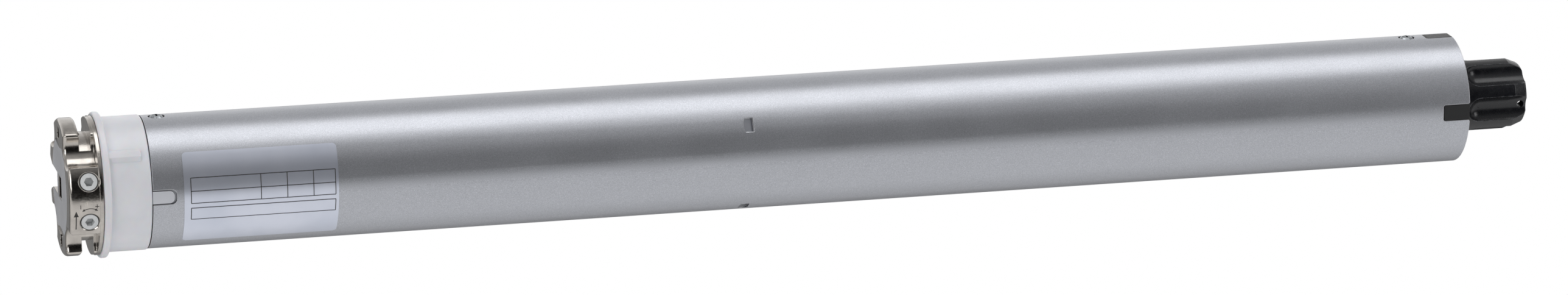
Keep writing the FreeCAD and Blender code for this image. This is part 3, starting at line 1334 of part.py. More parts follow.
def slot_outline(sketch, shrink):
    """Stator slot on the sketch's Y axis: a narrow mouth, a lip and a wide body."""
    mouth = f"(slot_mouth / 2 - {shrink})"
    half = f"(slot_body / 2 - {shrink})"
    bore_edge = "(stator_bore / 2)"
    shoulder = f"({bore_edge} + slot_lip)"
    low = f"{bore_edge} - 1"
    if shrink != "0":
        low = f"{shoulder} + {shrink}"
        outline(sketch, (
            (f"0 - {half}", low), (half, low),
            (half, f"slot_floor - {shrink}"), (f"0 - {half}", f"slot_floor - {shrink}"),
        ))
        return
    outline(sketch, (
        (f"0 - {mouth}", low), (mouth, low), (mouth, shoulder), (half, shoulder),
        (half, "slot_floor"), (f"0 - {half}", "slot_floor"), (f"0 - {half}", shoulder),
        (f"0 - {mouth}", shoulder),
    ))


def make_stator():
    """Laminated stack with its slots, and the winding: bars in the slots and two end turns."""
    stack = new_body("stator_stack")
    revolve(stack, (
        (STACK_START, "stator_bore / 2"),
        (STACK_START, SPIGOT),
        (STACK_END, SPIGOT),
        (STACK_END, "stator_bore / 2"),
    ))
    slot = new_sketch(stack, "YZ_Plane", f"{STACK_START} - 1")
    slot_outline(slot, "0")
    repeat(stack, pocket(stack, slot, "stack_length + 2"), "slot_count")

    winding = new_body("stator_winding")
    inner = "(stator_bore / 2 + slot_lip)"
    outer = "(slot_floor + winding_bulge)"
    near = f"({STACK_START} - slide_gap)"
    far = f"({STACK_END} + slide_gap)"
    bars = new_sketch(winding, "YZ_Plane", f"{STACK_START} - winding_reach / 2")
    slot_outline(bars, "winding_gap_in_slot")
    pad(winding, bars, "stack_length + winding_reach")
    repeat(winding, winding.Tip, "slot_count")
    ends = ((near, f"({STACK_START} - winding_reach)"), (far, f"({STACK_END} + winding_reach)"))
    for low, high in ends:
        sketch = new_sketch(winding, "XY_Plane")
        outline(sketch, (
            (low, inner), (low, outer), (f"{low} * 0.4 + {high} * 0.6", outer),
            (high, f"{outer} - winding_bulge"), (high, f"{inner} + winding_bulge"),
            (f"{low} * 0.4 + {high} * 0.6", inner),
        ))
        turned = winding.newObject("PartDesign::Revolution", "end_turn")
        turned.Profile = sketch
        turned.ReferenceAxis = (sketch, ["H_Axis"])
        turned.Angle = 360


def make_rotor():
    """Rotor: stepped shaft, laminated core and the two end rings of the cage."""
    core_radius = "(stator_bore / 2 - air_gap)"
    shaft = new_body("rotor_shaft")
    revolve(shaft, (
        (f"{REAR_SHIELD} + axial_gap", "0"),
        (f"{REAR_SHIELD} + axial_gap", "shaft_journal / 2"),
        (f"{REAR_SHIELD_END} + winding_gap", "shaft_journal / 2"),
        (f"{REAR_SHIELD_END} + winding_gap", "shaft_diameter / 2"),
        (f"{FRONT_SHIELD} - winding_gap", "shaft_diameter / 2"),
        (f"{FRONT_SHIELD} - winding_gap", "shaft_journal / 2"),
        (f"{FRONT_PLATE} + axial_gap / 2", "shaft_journal / 2"),
        (f"{FRONT_PLATE} + axial_gap / 2", "shaft_pinion_seat / 2"),
        (f"{CARRIER_1} - axial_gap", "shaft_pinion_seat / 2"),
        (f"{CARRIER_1} - axial_gap", "0"),
    ))
    core = new_body("rotor_core")
    revolve(core, (
        (STACK_START, "shaft_diameter / 2"),
        (STACK_START, core_radius),
        (STACK_END, core_radius),
        (STACK_END, "shaft_diameter / 2"),
    ))
    rings = []
    for name, start in (("near", f"({STACK_START} - cage_ring)"), ("far", STACK_END)):
        ring = new_body(f"cage_ring_{name}", is_sub_part=False)
        revolve(ring, (
            (start, "cage_ring_bore / 2"),
            (start, f"{core_radius} - cage_ring_step"),
            (f"{start} + cage_ring", f"{core_radius} - cage_ring_step"),
            (f"{start} + cage_ring", "cage_ring_bore / 2"),
        ))
        rings.append(ring)
    group("rotor_cage_rings", rings)


# ---------------------------------------------------------------- brake

def make_brake():
    """Spring-applied brake: magnet yoke, coil, disc spring, armature, guide pins and disc."""
    yoke = new_body("brake_yoke")
    revolve(yoke, (
        (YOKE_START, "yoke_bore / 2"),
        (YOKE_START, SPIGOT),
        (YOKE_END, SPIGOT),
        (YOKE_END, f"{SPIGOT} - yoke_rim"),
        (f"{YOKE_START} + yoke_web", f"{SPIGOT} - yoke_rim"),
        (f"{YOKE_START} + yoke_web", "yoke_pole / 2"),
        (YOKE_END, "yoke_pole / 2"),
        (YOKE_END, "yoke_bore / 2"),
    ))
    coil = new_body("brake_coil")
    coil_outer = f"({SPIGOT} - yoke_rim - coil_gap)"
    revolve(coil, (
        (f"{YOKE_START} + yoke_web", "yoke_pole / 2 + coil_gap"),
        (f"{YOKE_START} + yoke_web", coil_outer),
        (f"{YOKE_END} - spring_height", coil_outer),
        (f"{YOKE_END} - spring_height", "yoke_pole / 2 + coil_gap"),
    ))
    spring = new_body("brake_spring")
    spring_inner = "(yoke_pole / 2 + coil_gap)"
    spring_outer = f"({coil_outer} - 1)"
    seat = f"({YOKE_END} - spring_height + armature_gap)"
    top = f"({ARMATURE} - running_gap)"
    revolve(spring, (
        (f"{top} - spring_thickness", spring_inner),
        (seat, spring_outer),
        (f"{seat} + spring_thickness", spring_outer),
        (top, spring_inner),
    ))
    armature = new_body("brake_armature")
    revolve(armature, (
        (ARMATURE, "yoke_bore / 2"),
        (ARMATURE, f"{SPIGOT} - armature_side_gap"),
        (f"{ARMATURE} + armature_thickness", f"{SPIGOT} - armature_side_gap"),
        (f"{ARMATURE} + armature_thickness", "yoke_bore / 2"),
    ))
    hole = new_sketch(armature, "YZ_Plane", f"{ARMATURE} - 1")
    circle(hole, "brake_pin / 2 + slide_gap", "0", BRAKE_PIN_ORBIT)
    repeat(armature, pocket(armature, hole, "armature_thickness + 2"), "brake_pin_count")

    pins = []
    length = f"{FRONT_PLATE} - {YOKE_END}"
    for number in range(int(size("brake_pin_count"))):
        y, z = across(f"(90 + 360 * {number} / brake_pin_count)", BRAKE_PIN_ORBIT)
        pins.append(rod(f"brake_pin_{number}", YOKE_END, y, z, "brake_pin / 2", length, False))
    group("brake_guide_pins", pins)

    disc = new_body("brake_disc")
    disc_radius = f"({BRAKE_PIN_ORBIT} - brake_pin / 2 - brake_disc_gap)"
    revolve(disc, (
        (f"{BRAKE_DISC} - 2 * axial_gap", "shaft_journal / 2"),
        (f"{BRAKE_DISC} - 2 * axial_gap", "shaft_journal / 2 + brake_hub_wall"),
        (BRAKE_DISC, "shaft_journal / 2 + brake_hub_wall"),
        (BRAKE_DISC, disc_radius),
        (f"{BRAKE_DISC} + brake_disc_thickness", disc_radius),
        (f"{BRAKE_DISC} + brake_disc_thickness", "shaft_journal / 2"),
    ))


# ---------------------------------------------------------------- gearbox

def make_gearbox_housing():
    """Steel sleeve broached with the ring gear's teeth for all stages, and its front plate."""
    housing = new_body("ring_gear_housing")
    tip = RING_GEAR_TIP
    start = f"({FRONT_PLATE} + front_plate)"
    revolve(housing, (
        (start, tip),
        (start, SPIGOT),
        (CAP_START, SPIGOT),
        (CAP_START, tip),
    ))
    cut_teeth(housing, start, f"{CAP_START} - {start}", RING_GEAR_TEETH, GEAR_MODULE, internal=True)
    plate = new_body("gearbox_front_plate")
    revolve(plate, (
        (FRONT_PLATE, "front_plate_bore / 2"),
        (FRONT_PLATE, SPIGOT),
        (start, SPIGOT),
        (start, "front_plate_bore / 2"),
    ))


def make_sun_gear():
    """First sun gear, pressed on the end of the rotor shaft."""
    sun = new_body("first_sun_gear")
    start = f"({FRONT_PLATE} + axial_gap / 2)"
    end = f"({CARRIER_1} - axial_gap)"
    revolve(sun, (
        (start, "shaft_pinion_seat / 2"),
        (start, tip_radius("sun_teeth", GEAR_MODULE)),
        (end, tip_radius("sun_teeth", GEAR_MODULE)),
        (end, "shaft_pinion_seat / 2"),
    ))
    cut_teeth(sun, start, f"{end} - {start}", "sun_teeth", GEAR_MODULE)
    sun.Placement.Rotation = FreeCAD.Rotation(FreeCAD.Vector(1, 0, 0), 180 / size("sun_teeth"))
    bind(sun, "Placement.Rotation.Angle", "180 / sun_teeth")


def make_planet(label, start, width, number):
    """Planet gear on its pin."""
    planet = new_body(label)
    revolve(planet, (
        ("0", "planet_pin / 2 + running_gap"),
        ("0", tip_radius("planet_teeth", GEAR_MODULE)),
        (width, tip_radius("planet_teeth", GEAR_MODULE)),
        (width, "planet_pin / 2 + running_gap"),
    ))
    cut_teeth(planet, "0", width, "planet_teeth", GEAR_MODULE)
    step = f"(360 * {number} / planet_count)"
    # a planet that rolls round the fixed ring to its own place turns back by this much
    turn = f"(180 / planet_teeth - {step} * ({RING_GEAR_TEETH} / planet_teeth - 1))"
    planet.Placement.Rotation = FreeCAD.Rotation(FreeCAD.Vector(1, 0, 0), size(turn))
    bind(planet, "Placement.Rotation.Angle", turn)
    bind(planet, "Placement.Base.x", start)
    bind(planet, "Placement.Base.y", f"0 - {PLANET_ORBIT} * sin({step})")
    bind(planet, "Placement.Base.z", f"{PLANET_ORBIT} * cos({step})")


def add_pins(carrier, start, end):
    """Planet pins, one piece with the carrier."""
    sketch = new_sketch(carrier, "YZ_Plane", start)
    circle(sketch, "planet_pin / 2", "0", PLANET_ORBIT)
    repeat(carrier, pad(carrier, sketch, f"{end} - {start}"), "planet_count")


def make_carrier(label, start, planets_start, sun_end):
    """Sintered carrier: planet pins on one side and the next stage's sun gear on the other."""
    carrier = new_body(label)
    plate_end = f"({start} + carrier_thickness)"
    tip = tip_radius("sun_teeth", GEAR_MODULE)
    revolve(carrier, (
        (plate_end, "0"),
        (plate_end, tip),
        (sun_end, tip),
        (sun_end, "0"),
    ))
    cut_teeth(carrier, plate_end, f"{sun_end} - {plate_end}", "sun_teeth", GEAR_MODULE)
    plate = new_sketch(carrier, "YZ_Plane", start)
    circle(plate, CARRIER_RADIUS)
    pad(carrier, plate, "carrier_thickness")
    add_pins_with_turn(carrier, planets_start, start)
    carrier.Placement.Rotation = FreeCAD.Rotation(FreeCAD.Vector(1, 0, 0), 180 / size("sun_teeth"))
    bind(carrier, "Placement.Rotation.Angle", "180 / sun_teeth")


def add_pins_with_turn(carrier, planets_start, plate_start):
    """Pins of a carrier whose body is turned by half a sun tooth, so they stand at the planets."""
    sketch = new_sketch(carrier, "YZ_Plane", f"{planets_start} - axial_gap / 2")
    turn = "(180 / sun_teeth)"
    circle(sketch, "planet_pin / 2", f"{PLANET_ORBIT} * sin({turn})", f"{PLANET_ORBIT} * cos({turn})")
    length = f"{plate_start} + carrier_thickness / 2 - {planets_start} + axial_gap / 2"
    repeat(carrier, pad(carrier, sketch, length), "planet_count")


def make_output_carrier():
    """Output carrier with a hexagon hole for the output shaft."""
    carrier = new_body("output_carrier")
    end = f"({OUTPUT_CARRIER} + output_carrier_thickness)"
    plate = new_sketch(carrier, "YZ_Plane", OUTPUT_CARRIER)
    circle(plate, CARRIER_RADIUS)
    hexagon(plate, f"{SHAFT_HEXAGON} + 2 * spigot_clearance", OUTPUT_TURN)
    pad(carrier, plate, "output_carrier_thickness")
    add_pins(carrier, f"{STAGE_3} - axial_gap / 2", end)


def make_planets():
    stages = (("stage_1", STAGE_1, "stage_1_width"), ("stage_2", STAGE_2, "stage_2_width"),
              ("stage_3", STAGE_3, "stage_3_width"))
    for stage, start, width in stages:
        for number, letter in enumerate("abc"):
            make_planet(f"{stage}_planet_{letter}", start, width, number)


# ---------------------------------------------------------------- output end

def make_output_shaft():
    """Output shaft: hexagon in the carrier, journal, and the lobed drive head outside the tube."""
    shaft = new_body("output_shaft")
    carrier_end = f"({OUTPUT_CARRIER} + output_carrier_thickness)"
    head_start = f"({TUBE_END} + output_gap)"
    head_end = f"({TUBE_END} + output_reach)"
    journal = "(output_journal / 2)"
    lobe = "(output_diameter / 2)"
    groove = f"({CAP_START} - ring_groove - axial_gap / 2)"
    revolve(shaft, (
        (carrier_end, "0"),
        (carrier_end, journal),
        (groove, journal),
        (groove, f"{journal} - ring_groove_depth"),
        (f"{groove} + ring_groove", f"{journal} - ring_groove_depth"),
        (f"{groove} + ring_groove", journal),
        (head_start, journal),
        (head_start, lobe),
        (f"{head_end} - lobe_chamfer_length", lobe),
        (f"{head_end} - lobe_end_round", f"{lobe} - lobe_chamfer_depth"),
        (f"{head_end} - 0.3 * lobe_end_round", f"{lobe} - lobe_chamfer_depth - 0.5 * lobe_end_round"),
        (head_end, f"{lobe} - lobe_chamfer_depth - lobe_end_round"),
        (head_end, "output_bore / 2"),
        (f"{head_end} - output_bore_depth", "output_bore / 2"),
        (f"{head_end} - output_bore_depth", "0"),
    ))
    spigot = new_sketch(shaft, "YZ_Plane", OUTPUT_CARRIER)
    hexagon(spigot, SHAFT_HEXAGON)
    pad(shaft, spigot, "output_carrier_thickness + axial_gap")

    # a valley is round across, starts with a ball end and runs out through the head's end
    mouth = "(valley_mouth_width / 2)"
    depth = f"(sqrt({lobe} * {lobe} - {mouth} * {mouth}) - valley_floor / 2)"
    valley = f"(({mouth} * {mouth} + {depth} * {depth}) / 2 / {depth})"
    middle = f"(valley_floor / 2 + {valley})"
    centre = f"({head_start} + valley_centre)"
    straight = new_sketch(shaft, "YZ_Plane", centre)
    circle(straight, valley, "0", middle)
    cut = pocket(shaft, straight, "output_reach")
    ball = shaft.newObject("PartDesign::SubtractiveSphere", "ball_end")
    bind(ball, "Radius", valley)
    bind(ball, "Placement.Base.x", centre)
    bind(ball, "Placement.Base.z", middle)
    repeat(shaft, [cut, ball], "output_lobes")
    radial_bore(shaft, f"{head_end} - cross_hole_inset", "90", "output_bore / 4", lobe, "cross_hole / 2")
    shaft.Placement.Rotation = FreeCAD.Rotation(FreeCAD.Vector(1, 0, 0), size(OUTPUT_TURN))
    bind(shaft, "Placement.Rotation.Angle", OUTPUT_TURN)


def make_retaining_ring():
    ring = new_body("retaining_ring")
    start = f"({CAP_START} - ring_groove - axial_gap / 2)"
    inner = "(output_journal / 2 - ring_groove_depth + running_gap)"
    revolve(ring, (
        (start, inner),
        (start, "retaining_ring_diameter / 2"),
        (f"{start} + ring_groove", "retaining_ring_diameter / 2"),
        (f"{start} + ring_groove", inner),
    ))
    gap = new_sketch(ring, "YZ_Plane", f"{start} - 1")
    half = "(retaining_ring_opening / 2)"
    rectangle(gap, f"0 - {half}", "0", half, "retaining_ring_diameter")
    pocket(ring, gap, "ring_groove + 2")


def make_end_cap():
    """Black end cap: bearing seat, four keys in the tube's notches and two screw bosses."""
    cap = new_body("gearbox_end_cap")
    end = f"({TUBE_END} - cap_inset)"
    seat = "(bearing_outer / 2)"
    revolve(cap, (
        (CAP_START, seat),
        (CAP_START, SPIGOT),
        (end, SPIGOT),
        (end, "output_journal / 2 + seal_gap"),
        (f"{end} - cap_front", "output_journal / 2 + seal_gap"),
        (f"{end} - cap_front", seat),
    ))
    key = new_sketch(cap, "XZ_Plane", f"{SPIGOT} - 1")
    half = "(notch_width / 2 - key_clearance)"
    rectangle(key, f"{TUBE_END} - notch_depth + key_clearance", f"0 - {half}", end, half)
    repeat(cap, pad(cap, key, f"{TUBE_RADIUS} - tab_sink - {SPIGOT} + 1"), "notch_count")
    round_edges(cap, "notch_round", square_to_axis(f"{TUBE_END} - notch_depth + key_clearance"))
    screw_holes(cap, f"{TUBE_END} - far_screw_inset", "tube_screw_thread / 2 + head_screw_clearance")

    bearing = new_body("output_bearing")
    start = f"({end} - cap_front - bearing_length)"
    revolve(bearing, (
        (start, "output_journal / 2 + running_gap"),
        (start, seat),
        (f"{end} - cap_front", seat),
        (f"{end} - cap_front", "output_journal / 2 + running_gap"),
    ))


# ---------------------------------------------------------------- assembly

make_head_casting()
make_face_plate()
make_head_screws()
make_cable_inlet()
make_adjusting_screw("upper_adjusting_screw", "adjuster_bearing")
make_adjusting_screw("lower_adjusting_screw", "(0 - adjuster_bearing)")
make_setting_spindle("upper_setting_spindle", "adjuster_bearing")
make_setting_spindle("lower_setting_spindle", "(0 - adjuster_bearing)")
switches = (("upper", 1, UPPER_CARRIAGE, False), ("lower", -1, LOWER_CARRIAGE, True))
for name, side, start, faces_end in switches:
    make_switch_carriage(f"{name}_switch_carriage", side, start, f"({side} * adjuster_bearing)")
    make_microswitch(f"{name}_microswitch", side, start, faces_end)
    make_plunger(f"{name}_switch_plunger", side, start, faces_end)
make_limit_ring()
make_counting_train()
make_limit_housing()
make_housing_cover()
make_motor_tube()
make_rating_label()
make_tube_screws()
make_capacitor()
make_end_shield("rear_end_shield", REAR_SHIELD, "start", crimped=True)
make_end_shield("front_end_shield", FRONT_SHIELD, "end", crimped=False)
make_bush("rear_bush", REAR_SHIELD)
make_bush("front_bush", f"({FRONT_SHIELD} + shield_thickness - bush_length)")
make_stator()
make_rotor()
make_brake()
make_gearbox_housing()
make_sun_gear()
make_carrier("stage_1_carrier", CARRIER_1, STAGE_1, f"({CARRIER_2} - axial_gap / 2)")
make_carrier("stage_2_carrier", CARRIER_2, STAGE_2, f"({OUTPUT_CARRIER} - axial_gap / 2)")
make_output_carrier()
make_planets()
make_output_shaft()
make_retaining_ring()
make_end_cap()
doc.recompute()

failed = [item.Label for item in doc.Objects if "Invalid" in item.State or "Error" in item.State]
if failed:
    raise RuntimeError("features that failed: " + ", ".join(failed))
for item in SUB_PARTS:
    if item.Shape.isNull() or not item.Shape.isValid():
        raise RuntimeError("not a valid shape: " + item.Label)

os.makedirs("parts", exist_ok=True)
for item in SUB_PARTS:
    item.Shape.exportStep(f"parts/{item.Label}.step")
print(len(SUB_PARTS), "sub-parts")
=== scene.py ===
import math

import bmesh
import bpy
from mathutils import Matrix, Vector


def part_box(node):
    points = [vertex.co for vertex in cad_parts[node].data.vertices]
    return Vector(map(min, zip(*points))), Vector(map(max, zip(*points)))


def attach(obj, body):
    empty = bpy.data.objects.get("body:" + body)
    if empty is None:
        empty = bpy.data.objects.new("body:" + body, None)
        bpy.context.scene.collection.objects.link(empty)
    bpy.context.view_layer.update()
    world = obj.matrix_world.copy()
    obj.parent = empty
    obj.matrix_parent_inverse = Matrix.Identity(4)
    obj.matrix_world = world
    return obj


bl_info = {
    "name": "Tubular shutter motor",
    "version": (1, 0, 0),
    "blender": (4, 5, 0),
    "location": "View3D > Sidebar > Motor",
    "description": "Dresses a tubular roller shutter motor and sets up its studio",
    "category": "Object",
}

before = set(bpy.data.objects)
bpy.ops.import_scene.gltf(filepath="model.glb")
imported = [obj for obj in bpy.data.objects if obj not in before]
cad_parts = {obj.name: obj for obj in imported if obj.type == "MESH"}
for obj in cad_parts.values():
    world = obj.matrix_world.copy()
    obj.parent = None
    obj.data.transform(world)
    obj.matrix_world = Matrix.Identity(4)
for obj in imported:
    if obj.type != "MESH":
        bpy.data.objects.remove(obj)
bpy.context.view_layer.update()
MM = 0.001



def node_box(name):
    """Lowest and highest corner of a node, in metres."""
    low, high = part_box(name)
    return Vector(low), Vector(high)


LABEL_LOW, LABEL_HIGH = node_box("rating_label")
SCREW_LOW, SCREW_HIGH = node_box("lower_adjusting_screw")
HEAD_RADIUS = 30.0 * MM
INK_LIFT = 0.03 * MM
INK_THICKNESS = 0.02 * MM
ARC_STEP = 0.4 * MM
ARROW_LINE = 0.45 * MM
FINE_LINE = 0.28 * MM
RULE_LINE = 0.35 * MM
SCREW_BEARING = math.radians(17.5)


# ------------------------------------------------------------------ settings

def linear(code):
    """Linear colour of an sRGB hex value."""
    channels = []
    for start in (0, 2, 4):
        value = int(code[start:start + 2], 16) / 255
        channels.append(value / 12.92 if value <= 0.04045 else ((value + 0.055) / 1.055) ** 2.4)
    return (*channels, 1.0)


def swatch(name, code):
    """A colour setting with an sRGB default."""
    return bpy.props.FloatVectorProperty(
        name=name, description=f"Colour of the {name.lower()}", default=linear(code),
        subtype="COLOR", size=4, min=0, max=1,
    )


def length(name, description, default):
    """A length setting in metres."""
    return bpy.props.FloatProperty(
        name=name, description=description, default=default, unit="LENGTH", precision=5
    )


def angle(name, description, default):
    """An angle setting, with its default in degrees."""
    return bpy.props.FloatProperty(
        name=name, description=description, default=math.radians(default),
        subtype="ANGLE", precision=4,
    )


def power(name, description, default):
    """A lamp's power in watts."""
    return bpy.props.FloatProperty(
        name=name, description=description, default=default, min=0, unit="POWER", precision=3
    )


class MotorFinishSettings(bpy.types.PropertyGroup):
    """Colours and grain sizes of the motor's finishes."""

    tube_paint: swatch("Tube paint", "A8AAB0")
    tube_paint_dark: swatch("Tube paint between flakes", "9C9EA4")
    nickel: swatch("Nickel plating", "BAB5AF")
    nylon: swatch("Natural nylon", "D5D6DB")
    moulding_white: swatch("White housing", "BDBFC5")
    moulding_black: swatch("Black moulding", "0C0D0F")
    drive_black: swatch("Blackened steel", "131418")
    foil: swatch("Face plate", "A9AAAE")
    film: swatch("Rating film", "CACEDA")
    ink: swatch("Printed marks", "1C1B1B")
    flake_size: length(
        "Flake size", "Grain of the metallic paint, coarser than real so that it shows", 0.00025
    )
    peel_size: length("Ripple size", "Soft ripple of the plated casting", 0.0016)


class MotorStageSettings(bpy.types.PropertyGroup):
    """Camera, paper and lamps."""

    lens: bpy.props.FloatProperty(
        name="Lens", description="Focal length", default=154.64, unit="CAMERA"
    )
    camera_x: length("Camera X", "Camera along the motor, from the mounting face", -0.3793)
    camera_distance: length("Camera distance", "Camera to the motor's axis", 2.9054)
    camera_bearing: angle("Camera bearing", "Height of the camera round the axis, from -Y", 14.7)
    camera_yaw: angle("Camera yaw", "Turn of the camera towards the drive head", -13.585)
    camera_pitch: angle("Camera pitch", "Tilt of the camera", -0.063)
    camera_roll: angle("Camera roll", "Roll of the camera", -3.724)
    floor_drop: length("Floor", "Floor below the motor's axis", 0.22)
    floor_front: length(
        "Floor's front edge", "Front edge of the white paper, from the motor's axis", 1.1
    )
    world_level: bpy.props.FloatProperty(
        name="World level", description="Brightness of the studio's walls",
        default=1.0, min=0, subtype="FACTOR", precision=3,
    )
    overhead_power: power("Overhead lamp", "Power of the overhead soft box", 9.3)
    left_power: power("Left lamp", "Power of the soft box beside the head", 14.0)
    right_power: power("Right lamp", "Power of the soft box beside the drive head", 10.0)
    fill_power: power("Fill lamp", "Power of the low lamp in front, without highlights", 6.0)


# ------------------------------------------------------------------ materials

# Grains, tool marks, strands and sheets finer than half a millimetre are drawn coarser than real,
# so that they show.

# a wave texture of scale 1 repeats over this length
WAVE_LENGTH = math.tau / 20

def add_node(tree, kind, settings=None, links=None):
    """Adds a node with its settings and links.

    A setting is a property, a socket, or the stops of a colour ramp as (position, colour).
    A link comes from a socket, or from a node's first output.
    """
    node = tree.nodes.new(kind)
    for key, value in (settings or {}).items():
        if key == "stops":
            elements = node.color_ramp.elements
            while len(elements) < len(value):
                elements.new(0.5)
            for element, (position, colour) in zip(elements, value):
                element.position = position
                element.color = colour
        elif isinstance(key, str) and hasattr(node, key):
            setattr(node, key, value)
        else:
            node.inputs[key].default_value = value
    for key, source in (links or {}).items():
        socket = source.outputs[0] if isinstance(source, bpy.types.Node) else source
        tree.links.new(socket, node.inputs[key])
    return node


def new_material(name):
    """A material, its empty tree, and the place on the piece that its patterns follow."""
    material = bpy.data.materials.new(name)
    material.use_nodes = True
    tree = material.node_tree
    tree.nodes.clear()
    place = add_node(tree, "ShaderNodeTexCoord").outputs["Object"]
    return material, tree, place


def finish(material, settings, links):
    """Ends a material with its shader."""
    tree = material.node_tree
    shader = add_node(tree, "ShaderNodeBsdfPrincipled", settings, links)
    add_node(tree, "ShaderNodeOutputMaterial", links={"Surface": shader})
    return material


def metallic_paint(settings):
    """Silver metallic paint, sprayed: aluminium flakes give a fine bright grain under satin."""
    material, tree, place = new_material("metallic_spray_paint")
    flakes = add_node(
        tree, "ShaderNodeTexNoise", {"Scale": 1 / settings.flake_size, "Detail": 1.0},
        {"Vector": place},
    )
    clouds = add_node(
        tree, "ShaderNodeTexNoise", {"Scale": 1 / (30 * MM), "Detail": 2.0}, {"Vector": place}
    )
    stops = (
        (0.32, settings.tube_paint_dark), (0.5, settings.tube_paint), (0.72, linear("BEC0C6"))
    )
    tint = add_node(tree, "ShaderNodeValToRGB", {"stops": stops}, {"Fac": flakes})
    # pressed dents and cut walls, which don't face away from the axis, are darkened: painted
    # shade standing in for the dark surroundings that their slopes reflect
    across = add_node(
        tree, "ShaderNodeVectorMath", {"operation": "MULTIPLY", 1: (0.0, 1.0, 1.0)}, {0: place}
    )
    outward = add_node(tree, "ShaderNodeVectorMath", {"operation": "NORMALIZE"}, {0: across})
    normal = add_node(tree, "ShaderNodeNewGeometry").outputs["Normal"]
    upright = add_node(
        tree, "ShaderNodeVectorMath", {"operation": "DOT_PRODUCT"}, {0: outward, 1: normal}
    )
    painted_dent_shade_mask = add_node(
        tree, "ShaderNodeMapRange",
        {"From Min": 0.965, "From Max": 0.998, "To Min": 1.0, "To Max": 0.0},
        {"Value": upright.outputs["Value"]},
    )
    dent_painted_shade = add_node(
        # 808288 is the painted shade put on the dents and cut walls
        tree, "ShaderNodeMix", {"data_type": "RGBA", 7: linear("808288")}, {0: painted_dent_shade_mask, 6: tint}
    )
    # sharp edges are lightened towards bare steel: partly the paint worn thin there, partly a
    # painted highlight for the light that the edges catch
    edges = add_node(tree, "ShaderNodeBevel", {"samples": 6, "Radius": 0.35 * MM})
    rounded = add_node(
        tree, "ShaderNodeVectorMath", {"operation": "DOT_PRODUCT"}, {0: edges, 1: normal}
    )
    edge_mask = add_node(
        tree, "ShaderNodeMapRange",
        {"From Min": 0.93, "From Max": 0.99, "To Min": 0.8, "To Max": 0.0},
        {"Value": rounded.outputs["Value"]},
    )
    paint_with_edge_highlight = add_node(
        # E6E7EA on the edges is partly bare steel and partly a painted highlight
        tree, "ShaderNodeMix", {"data_type": "RGBA", 7: linear("E6E7EA")},
        {0: edge_mask, 6: dent_painted_shade.outputs[2]},
    )
    rough = add_node(
        tree, "ShaderNodeMapRange",
        {"From Min": 0.3, "From Max": 0.7, "To Min": 0.31, "To Max": 0.36}, {"Value": clouds},
    )
    tilt = add_node(
        tree, "ShaderNodeBump", {"Strength": 0.55, "Distance": 0.025 * MM},
        {"Height": flakes, "Normal": edges},
    )
    return finish(
        material, {"Metallic": 0.72, "Coat Weight": 0.08, "Coat Roughness": 0.3},
        {"Base Color": paint_with_edge_highlight.outputs[2], "Roughness": rough, "Normal": tilt},
    )


def nickel_casting(settings):
    """Nickel-plated zinc, die cast and barrel polished: a rippled mirror with faint pits."""
    material, tree, place = new_material("nickel_plated_zinc")
    peel = add_node(
        tree, "ShaderNodeTexNoise", {"Scale": 1 / settings.peel_size, "Detail": 2.0},
        {"Vector": place},
    )
    pits = add_node(
        tree, "ShaderNodeTexNoise", {"Scale": 1 / (0.5 * MM), "Detail": 1.0}, {"Vector": place}
    )
    stains = add_node(
        tree, "ShaderNodeTexNoise", {"Scale": 1 / (6 * MM), "Detail": 3.0}, {"Vector": place}
    )
    edges = add_node(tree, "ShaderNodeBevel", {"samples": 6, "Radius": 0.45 * MM})
    stops = ((0.3, linear("A6A19C")), (0.65, settings.nickel))
    tint = add_node(tree, "ShaderNodeValToRGB", {"stops": stops}, {"Fac": stains})
    rough = add_node(
        tree, "ShaderNodeMapRange",
        {"From Min": 0.3, "From Max": 0.7, "To Min": 0.13, "To Max": 0.24}, {"Value": pits},
    )
    ripple = add_node(
        tree, "ShaderNodeBump", {"Strength": 0.6, "Distance": 0.03 * MM},
        {"Height": peel, "Normal": edges},
    )
    pitted = add_node(
        tree, "ShaderNodeBump", {"Strength": 0.5, "Distance": 0.012 * MM},
        {"Height": pits, "Normal": ripple},
    )
    return finish(
        material, {"Metallic": 1.0}, {"Base Color": tint, "Roughness": rough, "Normal": pitted}
    )


def natural_nylon(settings):
    """Natural polyamide, injection moulded: milky white with soft gloss, lets some light in."""
    material, tree, place = new_material("natural_nylon")
    sink = add_node(
        tree, "ShaderNodeTexNoise", {"Scale": 1 / (12 * MM), "Detail": 2.0}, {"Vector": place}
    )
    skin = add_node(
        tree, "ShaderNodeTexNoise", {"Scale": 1 / (0.9 * MM), "Detail": 1.0}, {"Vector": place}
    )
    edges = add_node(tree, "ShaderNodeBevel", {"samples": 6, "Radius": 0.4 * MM})
    stops = ((0.3, linear("CDCED3")), (0.7, settings.nylon))
    tint = add_node(tree, "ShaderNodeValToRGB", {"stops": stops}, {"Fac": sink})
    moulded = add_node(
        tree, "ShaderNodeBump", {"Strength": 0.3, "Distance": 0.03 * MM},
        {"Height": skin, "Normal": edges},
    )
    return finish(
        material,
        {"Roughness": 0.38, "IOR": 1.53, "Subsurface Weight": 0.35, "Subsurface Scale": 2.5 * MM},
        {"Base Color": tint, "Normal": moulded},
    )


